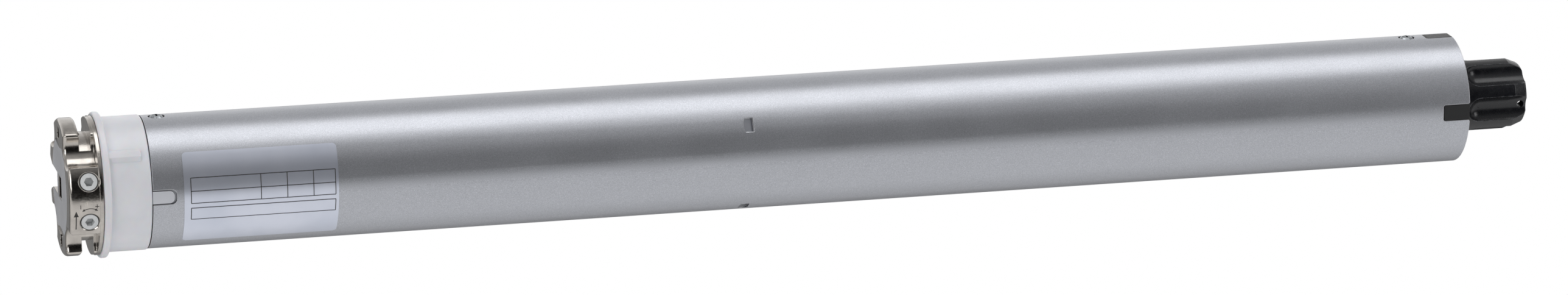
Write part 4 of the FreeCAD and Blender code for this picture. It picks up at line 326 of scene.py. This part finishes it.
def plain_moulding(name, colour, roughness, spark=0.9 * MM):
    """Injection moulded plastic: an even colour with a fine spark-eroded grain."""
    material, tree, place = new_material(name)
    skin = add_node(
        tree, "ShaderNodeTexNoise", {"Scale": 1 / spark, "Detail": 2.0}, {"Vector": place}
    )
    shade = add_node(
        tree, "ShaderNodeTexNoise", {"Scale": 1 / (10 * MM), "Detail": 2.0}, {"Vector": place}
    )
    edges = add_node(tree, "ShaderNodeBevel", {"samples": 6, "Radius": 0.3 * MM})
    darker = (*(channel * 0.88 for channel in colour[:3]), 1.0)
    tint = add_node(
        tree, "ShaderNodeValToRGB", {"stops": ((0.3, darker), (0.7, colour))}, {"Fac": shade}
    )
    rough = add_node(
        tree, "ShaderNodeMapRange",
        {
            "From Min": 0.3, "From Max": 0.7,
            "To Min": roughness - 0.06, "To Max": roughness + 0.06,
        },
        {"Value": skin},
    )
    eroded = add_node(
        tree, "ShaderNodeBump", {"Strength": 0.5, "Distance": 0.03 * MM},
        {"Height": skin, "Normal": edges},
    )
    return finish(
        material, {"IOR": 1.5}, {"Base Color": tint, "Roughness": rough, "Normal": eroded}
    )


def machined_metal(name, colour, roughness):
    """Bare machined or ground metal: fine tool marks that run round the axis."""
    material, tree, place = new_material(name)
    stretch = add_node(
        tree, "ShaderNodeMapping", {"Scale": (1.0, 0.12, 0.12)}, {"Vector": place}
    )
    marks = add_node(
        tree, "ShaderNodeTexNoise", {"Scale": 1 / (0.6 * MM), "Detail": 2.0}, {"Vector": stretch}
    )
    edges = add_node(tree, "ShaderNodeBevel", {"samples": 6, "Radius": 0.25 * MM})
    darker = (*(channel * 0.8 for channel in colour[:3]), 1.0)
    tint = add_node(
        tree, "ShaderNodeValToRGB", {"stops": ((0.3, darker), (0.7, colour))}, {"Fac": marks}
    )
    rough = add_node(
        tree, "ShaderNodeMapRange",
        {
            "From Min": 0.3, "From Max": 0.7,
            "To Min": roughness - 0.07, "To Max": roughness + 0.07,
        },
        {"Value": marks},
    )
    scored = add_node(
        tree, "ShaderNodeBump", {"Strength": 0.5, "Distance": 0.02 * MM},
        {"Height": marks, "Normal": edges},
    )
    return finish(
        material, {"Metallic": 1.0}, {"Base Color": tint, "Roughness": rough, "Normal": scored}
    )


def blackened_steel(settings):
    """Blackened, oiled steel, cold forged: deep black, soft gloss, rubbed bare along edges."""
    material, tree, place = new_material("blackened_steel")
    rubs = add_node(
        tree, "ShaderNodeTexNoise", {"Scale": 1 / (2.2 * MM), "Detail": 6.0, "Roughness": 0.7},
        {"Vector": place},
    )
    skin = add_node(
        tree, "ShaderNodeTexNoise", {"Scale": 1 / (0.7 * MM), "Detail": 2.0}, {"Vector": place}
    )
    edges = add_node(tree, "ShaderNodeBevel", {"samples": 6, "Radius": 0.4 * MM})
    normal = add_node(tree, "ShaderNodeNewGeometry").outputs["Normal"]
    rounded = add_node(
        tree, "ShaderNodeVectorMath", {"operation": "DOT_PRODUCT"}, {0: edges, 1: normal}
    )
    edge_mask = add_node(
        tree, "ShaderNodeMapRange",
        {"From Min": 0.94, "From Max": 0.99, "To Min": 1.0, "To Max": 0.0},
        {"Value": rounded.outputs["Value"]},
    )
    patchy = add_node(
        tree, "ShaderNodeMapRange",
        {"From Min": 0.44, "From Max": 0.62, "To Min": 0.0, "To Max": 1.0}, {"Value": rubs},
    )
    bare = add_node(tree, "ShaderNodeMath", {"operation": "MULTIPLY"}, {0: edge_mask, 1: patchy})
    stops = ((0.0, settings.drive_black), (1.0, linear("6E7075")))
    tint = add_node(tree, "ShaderNodeValToRGB", {"stops": stops}, {"Fac": bare})
    rough = add_node(
        tree, "ShaderNodeMapRange",
        {"From Min": 0.3, "From Max": 0.7, "To Min": 0.2, "To Max": 0.32}, {"Value": rubs},
    )
    forged = add_node(
        tree, "ShaderNodeBump", {"Strength": 0.5, "Distance": 0.02 * MM},
        {"Height": skin, "Normal": edges},
    )
    return finish(
        material, {"IOR": 1.5, "Metallic": 0.15},
        {"Base Color": tint, "Roughness": rough, "Normal": forged},
    )


def polyester_film(settings):
    """Silver polyester film, printed and glued on: smooth, half mirror and half white."""
    material, tree, place = new_material("silver_polyester_film")
    glue = add_node(
        tree, "ShaderNodeTexNoise", {"Scale": 1 / (9 * MM), "Detail": 2.0}, {"Vector": place}
    )
    shade = add_node(
        tree, "ShaderNodeTexNoise", {"Scale": 1 / (20 * MM), "Detail": 2.0}, {"Vector": place}
    )
    stops = ((0.3, linear("BFC4D1")), (0.7, settings.film))
    tint = add_node(tree, "ShaderNodeValToRGB", {"stops": stops}, {"Fac": shade})
    rippled = add_node(
        tree, "ShaderNodeBump", {"Strength": 0.4, "Distance": 0.05 * MM}, {"Height": glue}
    )
    return finish(
        material, {"Metallic": 0.7, "Roughness": 0.3, "IOR": 1.57},
        {"Base Color": tint, "Normal": rippled},
    )


def printing_ink(settings):
    """Pad-printed ink: thin, matt and slightly uneven."""
    material, tree, place = new_material("printing_ink")
    cover = add_node(
        tree, "ShaderNodeTexNoise", {"Scale": 1 / (0.8 * MM), "Detail": 3.0}, {"Vector": place}
    )
    stops = ((0.35, settings.ink), (0.8, linear("3A3836")))
    tint = add_node(tree, "ShaderNodeValToRGB", {"stops": stops}, {"Fac": cover})
    return finish(material, {"Roughness": 0.55}, {"Base Color": tint})


def copper_winding():
    """Enamelled copper wire, wound and varnished: parallel strands with an amber gloss."""
    material, tree, place = new_material("enamelled_copper")
    strands = add_node(
        tree, "ShaderNodeTexWave",
        {
            "wave_type": "RINGS", "rings_direction": "X",
            "Scale": WAVE_LENGTH / (0.748 * MM), "Distortion": 2.0, "Detail": 2.0,
        },
        {"Vector": place},
    ).outputs["Fac"]
    stops = ((0.2, linear("5E2E17")), (0.8, linear("B8683A")))
    tint = add_node(tree, "ShaderNodeValToRGB", {"stops": stops}, {"Fac": strands})
    ridge = add_node(
        tree, "ShaderNodeBump", {"Strength": 0.8, "Distance": 0.3 * MM}, {"Height": strands}
    )
    return finish(
        material,
        {"Metallic": 0.7, "Roughness": 0.3, "Coat Weight": 0.5, "Coat Roughness": 0.15},
        {"Base Color": tint, "Normal": ridge},
    )


def lamination_stack():
    """Electrical steel sheets, punched and stacked: thin dark lines across the axis."""
    material, tree, place = new_material("laminated_steel")
    sheets = add_node(
        tree, "ShaderNodeTexWave",
        {"bands_direction": "X", "Scale": WAVE_LENGTH / (0.982 * MM), "Distortion": 0.3},
        {"Vector": place},
    ).outputs["Fac"]
    stops = ((0.15, linear("2B2D30")), (0.6, linear("6D7176")))
    tint = add_node(tree, "ShaderNodeValToRGB", {"stops": stops}, {"Fac": sheets})
    ridge = add_node(
        tree, "ShaderNodeBump", {"Strength": 0.6, "Distance": 0.1 * MM}, {"Height": sheets}
    )
    return finish(
        material, {"Metallic": 0.9, "Roughness": 0.45}, {"Base Color": tint, "Normal": ridge}
    )


def give(material, *names):
    """Puts a material on CAD nodes."""
    for name in names:
        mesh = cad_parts[name].data
        mesh.materials.clear()
        mesh.materials.append(material)


# ------------------------------------------------------------------ printed pieces

def print_on_barrel(name, shapes, radius, body, material, step=ARC_STEP):
    """A thin print wrapped round the X axis.

    Shapes are outlines of (x, arc) in metres, with the arc from -Y upwards along the surface.
    """
    mesh = bmesh.new()
    for shape in shapes:
        mesh.faces.new([mesh.verts.new((x, arc, 0.0)) for x, arc in shape])
    low = min(vertex.co.y for vertex in mesh.verts)
    high = max(vertex.co.y for vertex in mesh.verts)
    cuts = int((high - low) / step)
    for index in range(1, cuts):
        place = (0.0, low + (high - low) * index / cuts, 0.0)
        everything = mesh.verts[:] + mesh.edges[:] + mesh.faces[:]
        bmesh.ops.bisect_plane(mesh, geom=everything, plane_co=place, plane_no=(0, 1, 0))
    for vertex in mesh.verts:
        turn = vertex.co.y / radius
        vertex.co = Vector((vertex.co.x, -radius * math.cos(turn), radius * math.sin(turn)))
    bmesh.ops.recalc_face_normals(mesh, faces=mesh.faces[:])
    data = bpy.data.meshes.new(name)
    mesh.to_mesh(data)
    mesh.free()
    piece = bpy.data.objects.new(name, data)
    bpy.context.scene.collection.objects.link(piece)
    thick = piece.modifiers.new("ink", "SOLIDIFY")
    thick.thickness = INK_THICKNESS
    data.materials.append(material)
    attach(piece, body)


def stroke(points, width):
    """Outlines of a line of the given width, one four-cornered shape for each run."""
    shapes = []
    for start, end in zip(points, points[1:]):
        first, second = Vector(start), Vector(end)
        run = second - first
        side = Vector((-run.y, run.x)).normalized() * width / 2
        corners = (first - side, second - side, second + side, first + side)
        shapes.append([tuple(corner) for corner in corners])
    return shapes


def arrow_head(tip, direction, size):
    """A filled triangle that points along direction."""
    direction = Vector(direction).normalized()
    side = Vector((-direction.y, direction.x)) * size * 0.42
    back = Vector(tip) - direction * size
    return [tuple(Vector(tip)), tuple(back + side), tuple(back - side)]


def adjustment_marks(centre_x, centre_arc):
    """Arrow beside an adjusting screw, and the curved double arrow with its minus and plus."""
    arrow_x = centre_x - 6.0 * MM
    tail = centre_arc - 4.2 * MM
    tip = centre_arc + 4.6 * MM
    shapes = stroke([(arrow_x, tail), (arrow_x, tip - 2.0 * MM)], ARROW_LINE)
    shapes.append(arrow_head((arrow_x, tip), (0, 1), 2.6 * MM))

    bow_radius = 6.2 * MM
    bow_drop = 0.7 * MM
    points = []
    for degrees in range(-24, 25, 6):
        turn = math.radians(90 + degrees)
        points.append((
            centre_x + bow_radius * math.cos(turn),
            centre_arc + bow_radius * math.sin(turn) - bow_drop,
        ))
    shapes += stroke(points, FINE_LINE)
    for point, way in ((points[0], 1), (points[-1], -1)):
        tip = Vector(point) + Vector((way * 0.9, -0.6)) * MM
        shapes.append(arrow_head(tip, (way * 0.85, -0.55), 1.3 * MM))

    half = 0.9 * MM
    sign_arc = centre_arc + 6.4 * MM
    minus_x = centre_x - 4.0 * MM
    plus_x = centre_x + 3.1 * MM
    shapes += stroke([(minus_x, sign_arc - half), (minus_x, sign_arc + half)], FINE_LINE)
    shapes += stroke([(plus_x - half, sign_arc), (plus_x + half, sign_arc)], FINE_LINE)
    shapes += stroke([(plus_x, sign_arc - half), (plus_x, sign_arc + half)], FINE_LINE)
    return shapes


# ------------------------------------------------------------------ operators

class MOTOR_OT_tube(bpy.types.Operator):
    """Painted steel tube with its fixing screws"""

    bl_idname = "motor.tube"
    bl_label = "Tube"

    def execute(self, context):
        zinc = machined_metal("zinc_plated_steel", linear("A9ADB1"), 0.27)
        give(metallic_paint(context.scene.motor_finish), "motor_tube")
        give(zinc, "tube_screws", "head_screws")
        return {"FINISHED"}


class MOTOR_OT_head(bpy.types.Operator):
    """Plated head casting, its face plate and the cable socket"""

    bl_idname = "motor.head"
    bl_label = "Head"

    def execute(self, context):
        settings = context.scene.motor_finish
        foil = plain_moulding("lacquered_foil", tuple(settings.foil), 0.42, 0.6 * MM)
        black = plain_moulding("black_polyamide", tuple(settings.moulding_black), 0.45)
        give(nickel_casting(settings), "head_casting")
        give(foil, "face_plate")
        give(black, "cable_inlet")
        return {"FINISHED"}


class MOTOR_OT_limit_ring(bpy.types.Operator):
    """White limit ring and the white limit switch housing with its key"""

    bl_idname = "motor.limit_ring"
    bl_label = "Limit ring"

    def execute(self, context):
        settings = context.scene.motor_finish
        housing = plain_moulding("white_polyamide", tuple(settings.moulding_white), 0.4)
        give(natural_nylon(settings), "limit_ring", "counting_pinion")
        give(housing, "limit_housing", "limit_housing_cover", "travel_nut")
        give(housing, "upper_switch_carriage", "lower_switch_carriage")
        return {"FINISHED"}


class MOTOR_OT_adjusting_screws(bpy.types.Operator):
    """White adjusting screws and the marks printed beside the lower one"""

    bl_idname = "motor.adjusting_screws"
    bl_label = "Adjusting screws"

    def execute(self, context):
        acetal = plain_moulding("white_acetal", linear("C9CBCC"), 0.35)
        give(acetal, "upper_adjusting_screw", "lower_adjusting_screw")
        radius = HEAD_RADIUS + INK_LIFT
        middle_x = (SCREW_LOW.x + SCREW_HIGH.x) / 2
        marks = adjustment_marks(middle_x, 1.1 * MM - SCREW_BEARING * radius)
        ink = printing_ink(context.scene.motor_finish)
        print_on_barrel("lower_screw_marks", marks, radius, "motor_body", ink)
        return {"FINISHED"}


class MOTOR_OT_rating_label(bpy.types.Operator):
    """Silver film with an empty ruled table"""

    bl_idname = "motor.rating_label"
    bl_label = "Rating label"

    def execute(self, context):
        settings = context.scene.motor_finish
        give(polyester_film(settings), "rating_label")
        radius = max(abs(LABEL_LOW.y), abs(LABEL_HIGH.y)) + 0.02 * MM
        left = LABEL_LOW.x + 3.0 * MM
        right = LABEL_HIGH.x - 1.4 * MM
        top = math.radians(38.0) * radius
        columns = (left, left + 30.5 * MM, left + 42.0 * MM, left + 53.5 * MM, right)
        # two rows of cells lie above one wide empty box
        table_top, table_rule, table_end, box_top, box_end = (
            top - offset * MM for offset in (11.6, 17.4, 22.8, 25.0, 30.6)
        )
        rules = []
        for arc in (table_top, table_rule, table_end, box_top, box_end):
            rules += stroke([(left, arc), (right, arc)], RULE_LINE)
        for x in columns:
            rules += stroke([(x, table_top), (x, table_end)], RULE_LINE)
        for x in (left, right):
            rules += stroke([(x, box_top), (x, box_end)], RULE_LINE)
        ink = printing_ink(settings)
        print_on_barrel("label_rules", rules, radius, "motor_body", ink, 1.2 * MM)
        return {"FINISHED"}


class MOTOR_OT_drive_end(bpy.types.Operator):
    """Blackened drive head and the black end cap with its keys"""

    bl_idname = "motor.drive_end"
    bl_label = "Drive end"

    def execute(self, context):
        settings = context.scene.motor_finish
        cap = plain_moulding("glass_filled_polyamide", tuple(settings.moulding_black), 0.42)
        give(blackened_steel(settings), "output_shaft")
        give(cap, "gearbox_end_cap")
        return {"FINISHED"}


class MOTOR_OT_inner_pieces(bpy.types.Operator):
    """Motor, brake, gearbox, capacitor and switches inside the tube"""

    bl_idname = "motor.inner_pieces"
    bl_label = "Inner pieces"

    def execute(self, context):
        steel = machined_metal("ground_steel", linear("B4B7BA"), 0.26)
        gears = machined_metal("sintered_steel", linear("7E8083"), 0.36)
        cast = machined_metal("die_cast_aluminium", linear("C9CBCD"), 0.38)
        bronze = machined_metal("sintered_bronze", linear("A98352"), 0.34)
        brass = machined_metal("turned_brass", linear("CFAE62"), 0.24)
        phenolic = plain_moulding("black_phenolic", linear("1E1F22"), 0.4)
        lining = plain_moulding("brake_lining", linear("4A4038"), 0.7, 1.4 * MM)
        can = plain_moulding("capacitor_case", linear("D3D5D6"), 0.3)
        acetal = plain_moulding("red_acetal", linear("A02A22"), 0.35)
        give(steel, "rotor_shaft", "guide_rods", "travel_spindle", "retaining_ring")
        give(steel, "brake_guide_pins", "brake_spring")
        give(gears, "first_sun_gear", "stage_1_carrier", "stage_2_carrier", "output_carrier")
        give(gears, "ring_gear_housing", "brake_yoke", "brake_armature")
        for stage in (1, 2, 3):
            for letter in "abc":
                give(gears, f"stage_{stage}_planet_{letter}")
        give(cast, "rear_end_shield", "front_end_shield", "rotor_cage_rings")
        give(cast, "gearbox_front_plate")
        give(bronze, "rear_bush", "front_bush", "output_bearing")
        give(brass, "upper_setting_spindle", "lower_setting_spindle")
        give(lamination_stack(), "stator_stack", "rotor_core")
        give(copper_winding(), "stator_winding", "brake_coil")
        give(lining, "brake_disc")
        give(can, "capacitor")
        give(phenolic, "capacitor_cradle", "upper_microswitch", "lower_microswitch")
        give(acetal, "upper_switch_plunger", "lower_switch_plunger")
        return {"FINISHED"}


def soft_box(name, place, aim, width, height, watts):
    """A rectangular soft box at place that faces aim."""
    lamp = bpy.data.lights.new(name, "AREA")
    lamp.shape = "RECTANGLE"
    lamp.size = width
    lamp.size_y = height
    lamp.energy = watts
    holder = bpy.data.objects.new(name, lamp)
    holder.location = place
    holder.rotation_euler = (Vector(aim) - Vector(place)).to_track_quat("-Z", "Y").to_euler()
    bpy.context.scene.collection.objects.link(holder)
    return holder


def turned(first, second, turn):
    """Two crossed directions, both turned in their plane from the first towards the second."""
    cosine, sine = math.cos(turn), math.sin(turn)
    return first * cosine + second * sine, second * cosine - first * sine


class MOTOR_OT_stage(bpy.types.Operator):
    """White paper, soft boxes, studio walls and the camera"""

    bl_idname = "motor.stage"
    bl_label = "Stage"

    def execute(self, context):
        settings = context.scene.motor_stage
        context.scene.view_settings.view_transform = "Standard"
        self.add_camera(context.scene, settings)
        self.add_paper(context.scene, settings)
        self.add_lamps(settings)
        self.add_walls(context.scene, settings)
        return {"FINISHED"}

    def add_camera(self, scene, settings):
        data = bpy.data.cameras.new("camera")
        data.sensor_width = 36.0
        data.lens = settings.lens
        data.clip_end = 20.0
        camera = bpy.data.objects.new("camera", data)
        scene.collection.objects.link(camera)
        yaw = Matrix.Rotation(settings.camera_yaw, 3, "Z")
        forward, up = turned(yaw @ Vector((0, 1, 0)), Vector((0, 0, 1)), settings.camera_pitch)
        right, up = turned(yaw @ Vector((1, 0, 0)), up, settings.camera_roll)
        lift = Matrix.Rotation(-settings.camera_bearing, 3, "X")
        matrix = Matrix((lift @ right, lift @ up, lift @ -forward)).transposed().to_4x4()
        matrix.translation = lift @ Vector((settings.camera_x, -settings.camera_distance, 0))
        camera.matrix_world = matrix
        scene.camera = camera

    def add_paper(self, scene, settings):
        front, back, side = -settings.floor_front, 6.0, 6.0
        corners = ((-side, front), (side, front), (side, back), (-side, back))
        mesh = bmesh.new()
        mesh.faces.new([mesh.verts.new((x, y, 0.0)) for x, y in corners])
        data = bpy.data.meshes.new("floor")
        mesh.to_mesh(data)
        mesh.free()
        floor = bpy.data.objects.new("floor", data)
        floor.location = (0.0, 0.0, -settings.floor_drop)
        scene.collection.objects.link(floor)
        material = bpy.data.materials.new("white_paper")
        material.use_nodes = True
        tree = material.node_tree
        tree.nodes.clear()
        paper = add_node(tree, "ShaderNodeBsdfDiffuse", {"Color": (0.9, 0.9, 0.9, 1.0)})
        rays = add_node(tree, "ShaderNodeLightPath")
        surface = add_node(tree, "ShaderNodeNewGeometry")
        # reflections of the paper get darker under the motor and behind it, in its own shade
        depth = add_node(
            tree, "ShaderNodeSeparateXYZ", None, {"Vector": surface.outputs["Position"]}
        )
        shade = add_node(
            tree, "ShaderNodeMapRange",
            {"From Min": -0.05, "From Max": 0.2, "To Min": 1.0, "To Max": 0.25},
            {"Value": depth.outputs["Y"]},
        )
        level = add_node(
            tree, "ShaderNodeMath", {"operation": "MAXIMUM"},
            {0: rays.outputs["Is Camera Ray"], 1: shade},
        )
        white = add_node(
            tree, "ShaderNodeEmission", {"Color": (1.0, 1.0, 1.0, 1.0)}, {"Strength": level}
        )
        glossy = add_node(
            tree, "ShaderNodeMath", {"operation": "MAXIMUM"},
            {0: rays.outputs["Is Camera Ray"], 1: rays.outputs["Is Glossy Ray"]},
        )
        seen = add_node(
            tree, "ShaderNodeMath", {"operation": "MAXIMUM"},
            {0: glossy, 1: rays.outputs["Is Transmission Ray"]},
        )
        upper = add_node(tree, "ShaderNodeMixShader", None, {0: seen, 1: paper, 2: white})
        # from below the paper is clear, so that the underside can be looked at
        clear = add_node(tree, "ShaderNodeBsdfTransparent")
        whole = add_node(
            tree, "ShaderNodeMixShader", None,
            {0: surface.outputs["Backfacing"], 1: upper, 2: clear},
        )
        add_node(tree, "ShaderNodeOutputMaterial", links={"Surface": whole})
        data.materials.append(material)

    def add_lamps(self, settings):
        soft_box(
            "overhead_box", (0.5, 0.0, 1.2), (0.5, 0.0, 0.0), 1.8, 0.82, settings.overhead_power
        )
        soft_box("left_box", (-1.7, -1.5, 0.7), (0.0, 0.0, 0.0), 1.0, 1.0, settings.left_power)
        soft_box("right_box", (2.4, -1.5, 0.7), (0.6, 0.0, 0.0), 1.0, 1.0, settings.right_power)
        fill = soft_box(
            "fill_box", (0.3, -1.6, -0.12), (0.3, 0.0, 0.0), 2.0, 0.2, settings.fill_power
        )
        fill.visible_glossy = False

    def add_walls(self, scene, settings):
        world = bpy.data.worlds.new("studio_walls")
        world.use_nodes = True
        tree = world.node_tree
        tree.nodes.clear()
        place = add_node(tree, "ShaderNodeTexCoord").outputs["Generated"]
        parts = add_node(tree, "ShaderNodeSeparateXYZ", None, {"Vector": place})
        front = add_node(
            tree, "ShaderNodeMath", {"operation": "MULTIPLY", 1: -1.0}, {0: parts.outputs["Y"]}
        )
        bearing = add_node(
            tree, "ShaderNodeMath", {"operation": "ARCTAN2"}, {0: parts.outputs["Z"], 1: front}
        )
        turn = add_node(
            tree, "ShaderNodeMapRange", {"From Min": -math.pi, "From Max": math.pi},
            {"Value": bearing},
        )
        # brightness of the walls by bearing round the motor, in degrees from -Y upwards
        levels = (
            (-180, 0.45), (-90, 0.2), (-16, 0.06), (-6, 0.012), (26, 0.012), (36, 0.16),
            (46, 0.42), (62, 0.48), (100, 0.5), (126, 0.42), (150, 0.85), (180, 1.1),
        )
        stops = [((degrees + 180) / 360, (level, level, level, 1.0)) for degrees, level in levels]
        shade = add_node(tree, "ShaderNodeValToRGB", {"stops": stops}, {"Fac": turn})
        walls = add_node(
            tree, "ShaderNodeBackground", {"Strength": settings.world_level}, {"Color": shade}
        )
        white = add_node(
            tree, "ShaderNodeBackground", {"Color": (1.0, 1.0, 1.0, 1.0), "Strength": 1.0}
        )
        rays = add_node(tree, "ShaderNodeLightPath")
        shown = add_node(
            tree, "ShaderNodeMixShader", None,
            {0: rays.outputs["Is Camera Ray"], 1: walls, 2: white},
        )
        add_node(tree, "ShaderNodeOutputWorld", links={"Surface": shown})
        scene.world = world


OPERATORS = (
    MOTOR_OT_tube,
    MOTOR_OT_head,
    MOTOR_OT_limit_ring,
    MOTOR_OT_adjusting_screws,
    MOTOR_OT_rating_label,
    MOTOR_OT_drive_end,
    MOTOR_OT_inner_pieces,
    MOTOR_OT_stage,
)


class MOTOR_PT_panel(bpy.types.Panel):
    """Lists the pieces and the stage"""

    bl_idname = "MOTOR_PT_panel"
    bl_label = "Tubular motor"
    bl_space_type = "VIEW_3D"
    bl_region_type = "UI"
    bl_category = "Motor"

    def draw(self, context):
        for operator in OPERATORS:
            self.layout.operator(operator.bl_idname)


CLASSES = (MotorFinishSettings, MotorStageSettings, *OPERATORS, MOTOR_PT_panel)


def register():
    for cls in CLASSES:
        bpy.utils.register_class(cls)
    bpy.types.Scene.motor_finish = bpy.props.PointerProperty(type=MotorFinishSettings)
    bpy.types.Scene.motor_stage = bpy.props.PointerProperty(type=MotorStageSettings)


def unregister():
    del bpy.types.Scene.motor_stage
    del bpy.types.Scene.motor_finish
    for cls in reversed(CLASSES):
        bpy.utils.unregister_class(cls)


def main():
    register()
    bpy.ops.motor.tube()
    bpy.ops.motor.head()
    bpy.ops.motor.limit_ring()
    bpy.ops.motor.adjusting_screws()
    bpy.ops.motor.rating_label()
    bpy.ops.motor.drive_end()
    bpy.ops.motor.inner_pieces()
    bpy.ops.motor.stage()


if __name__ == "__main__":
    main()
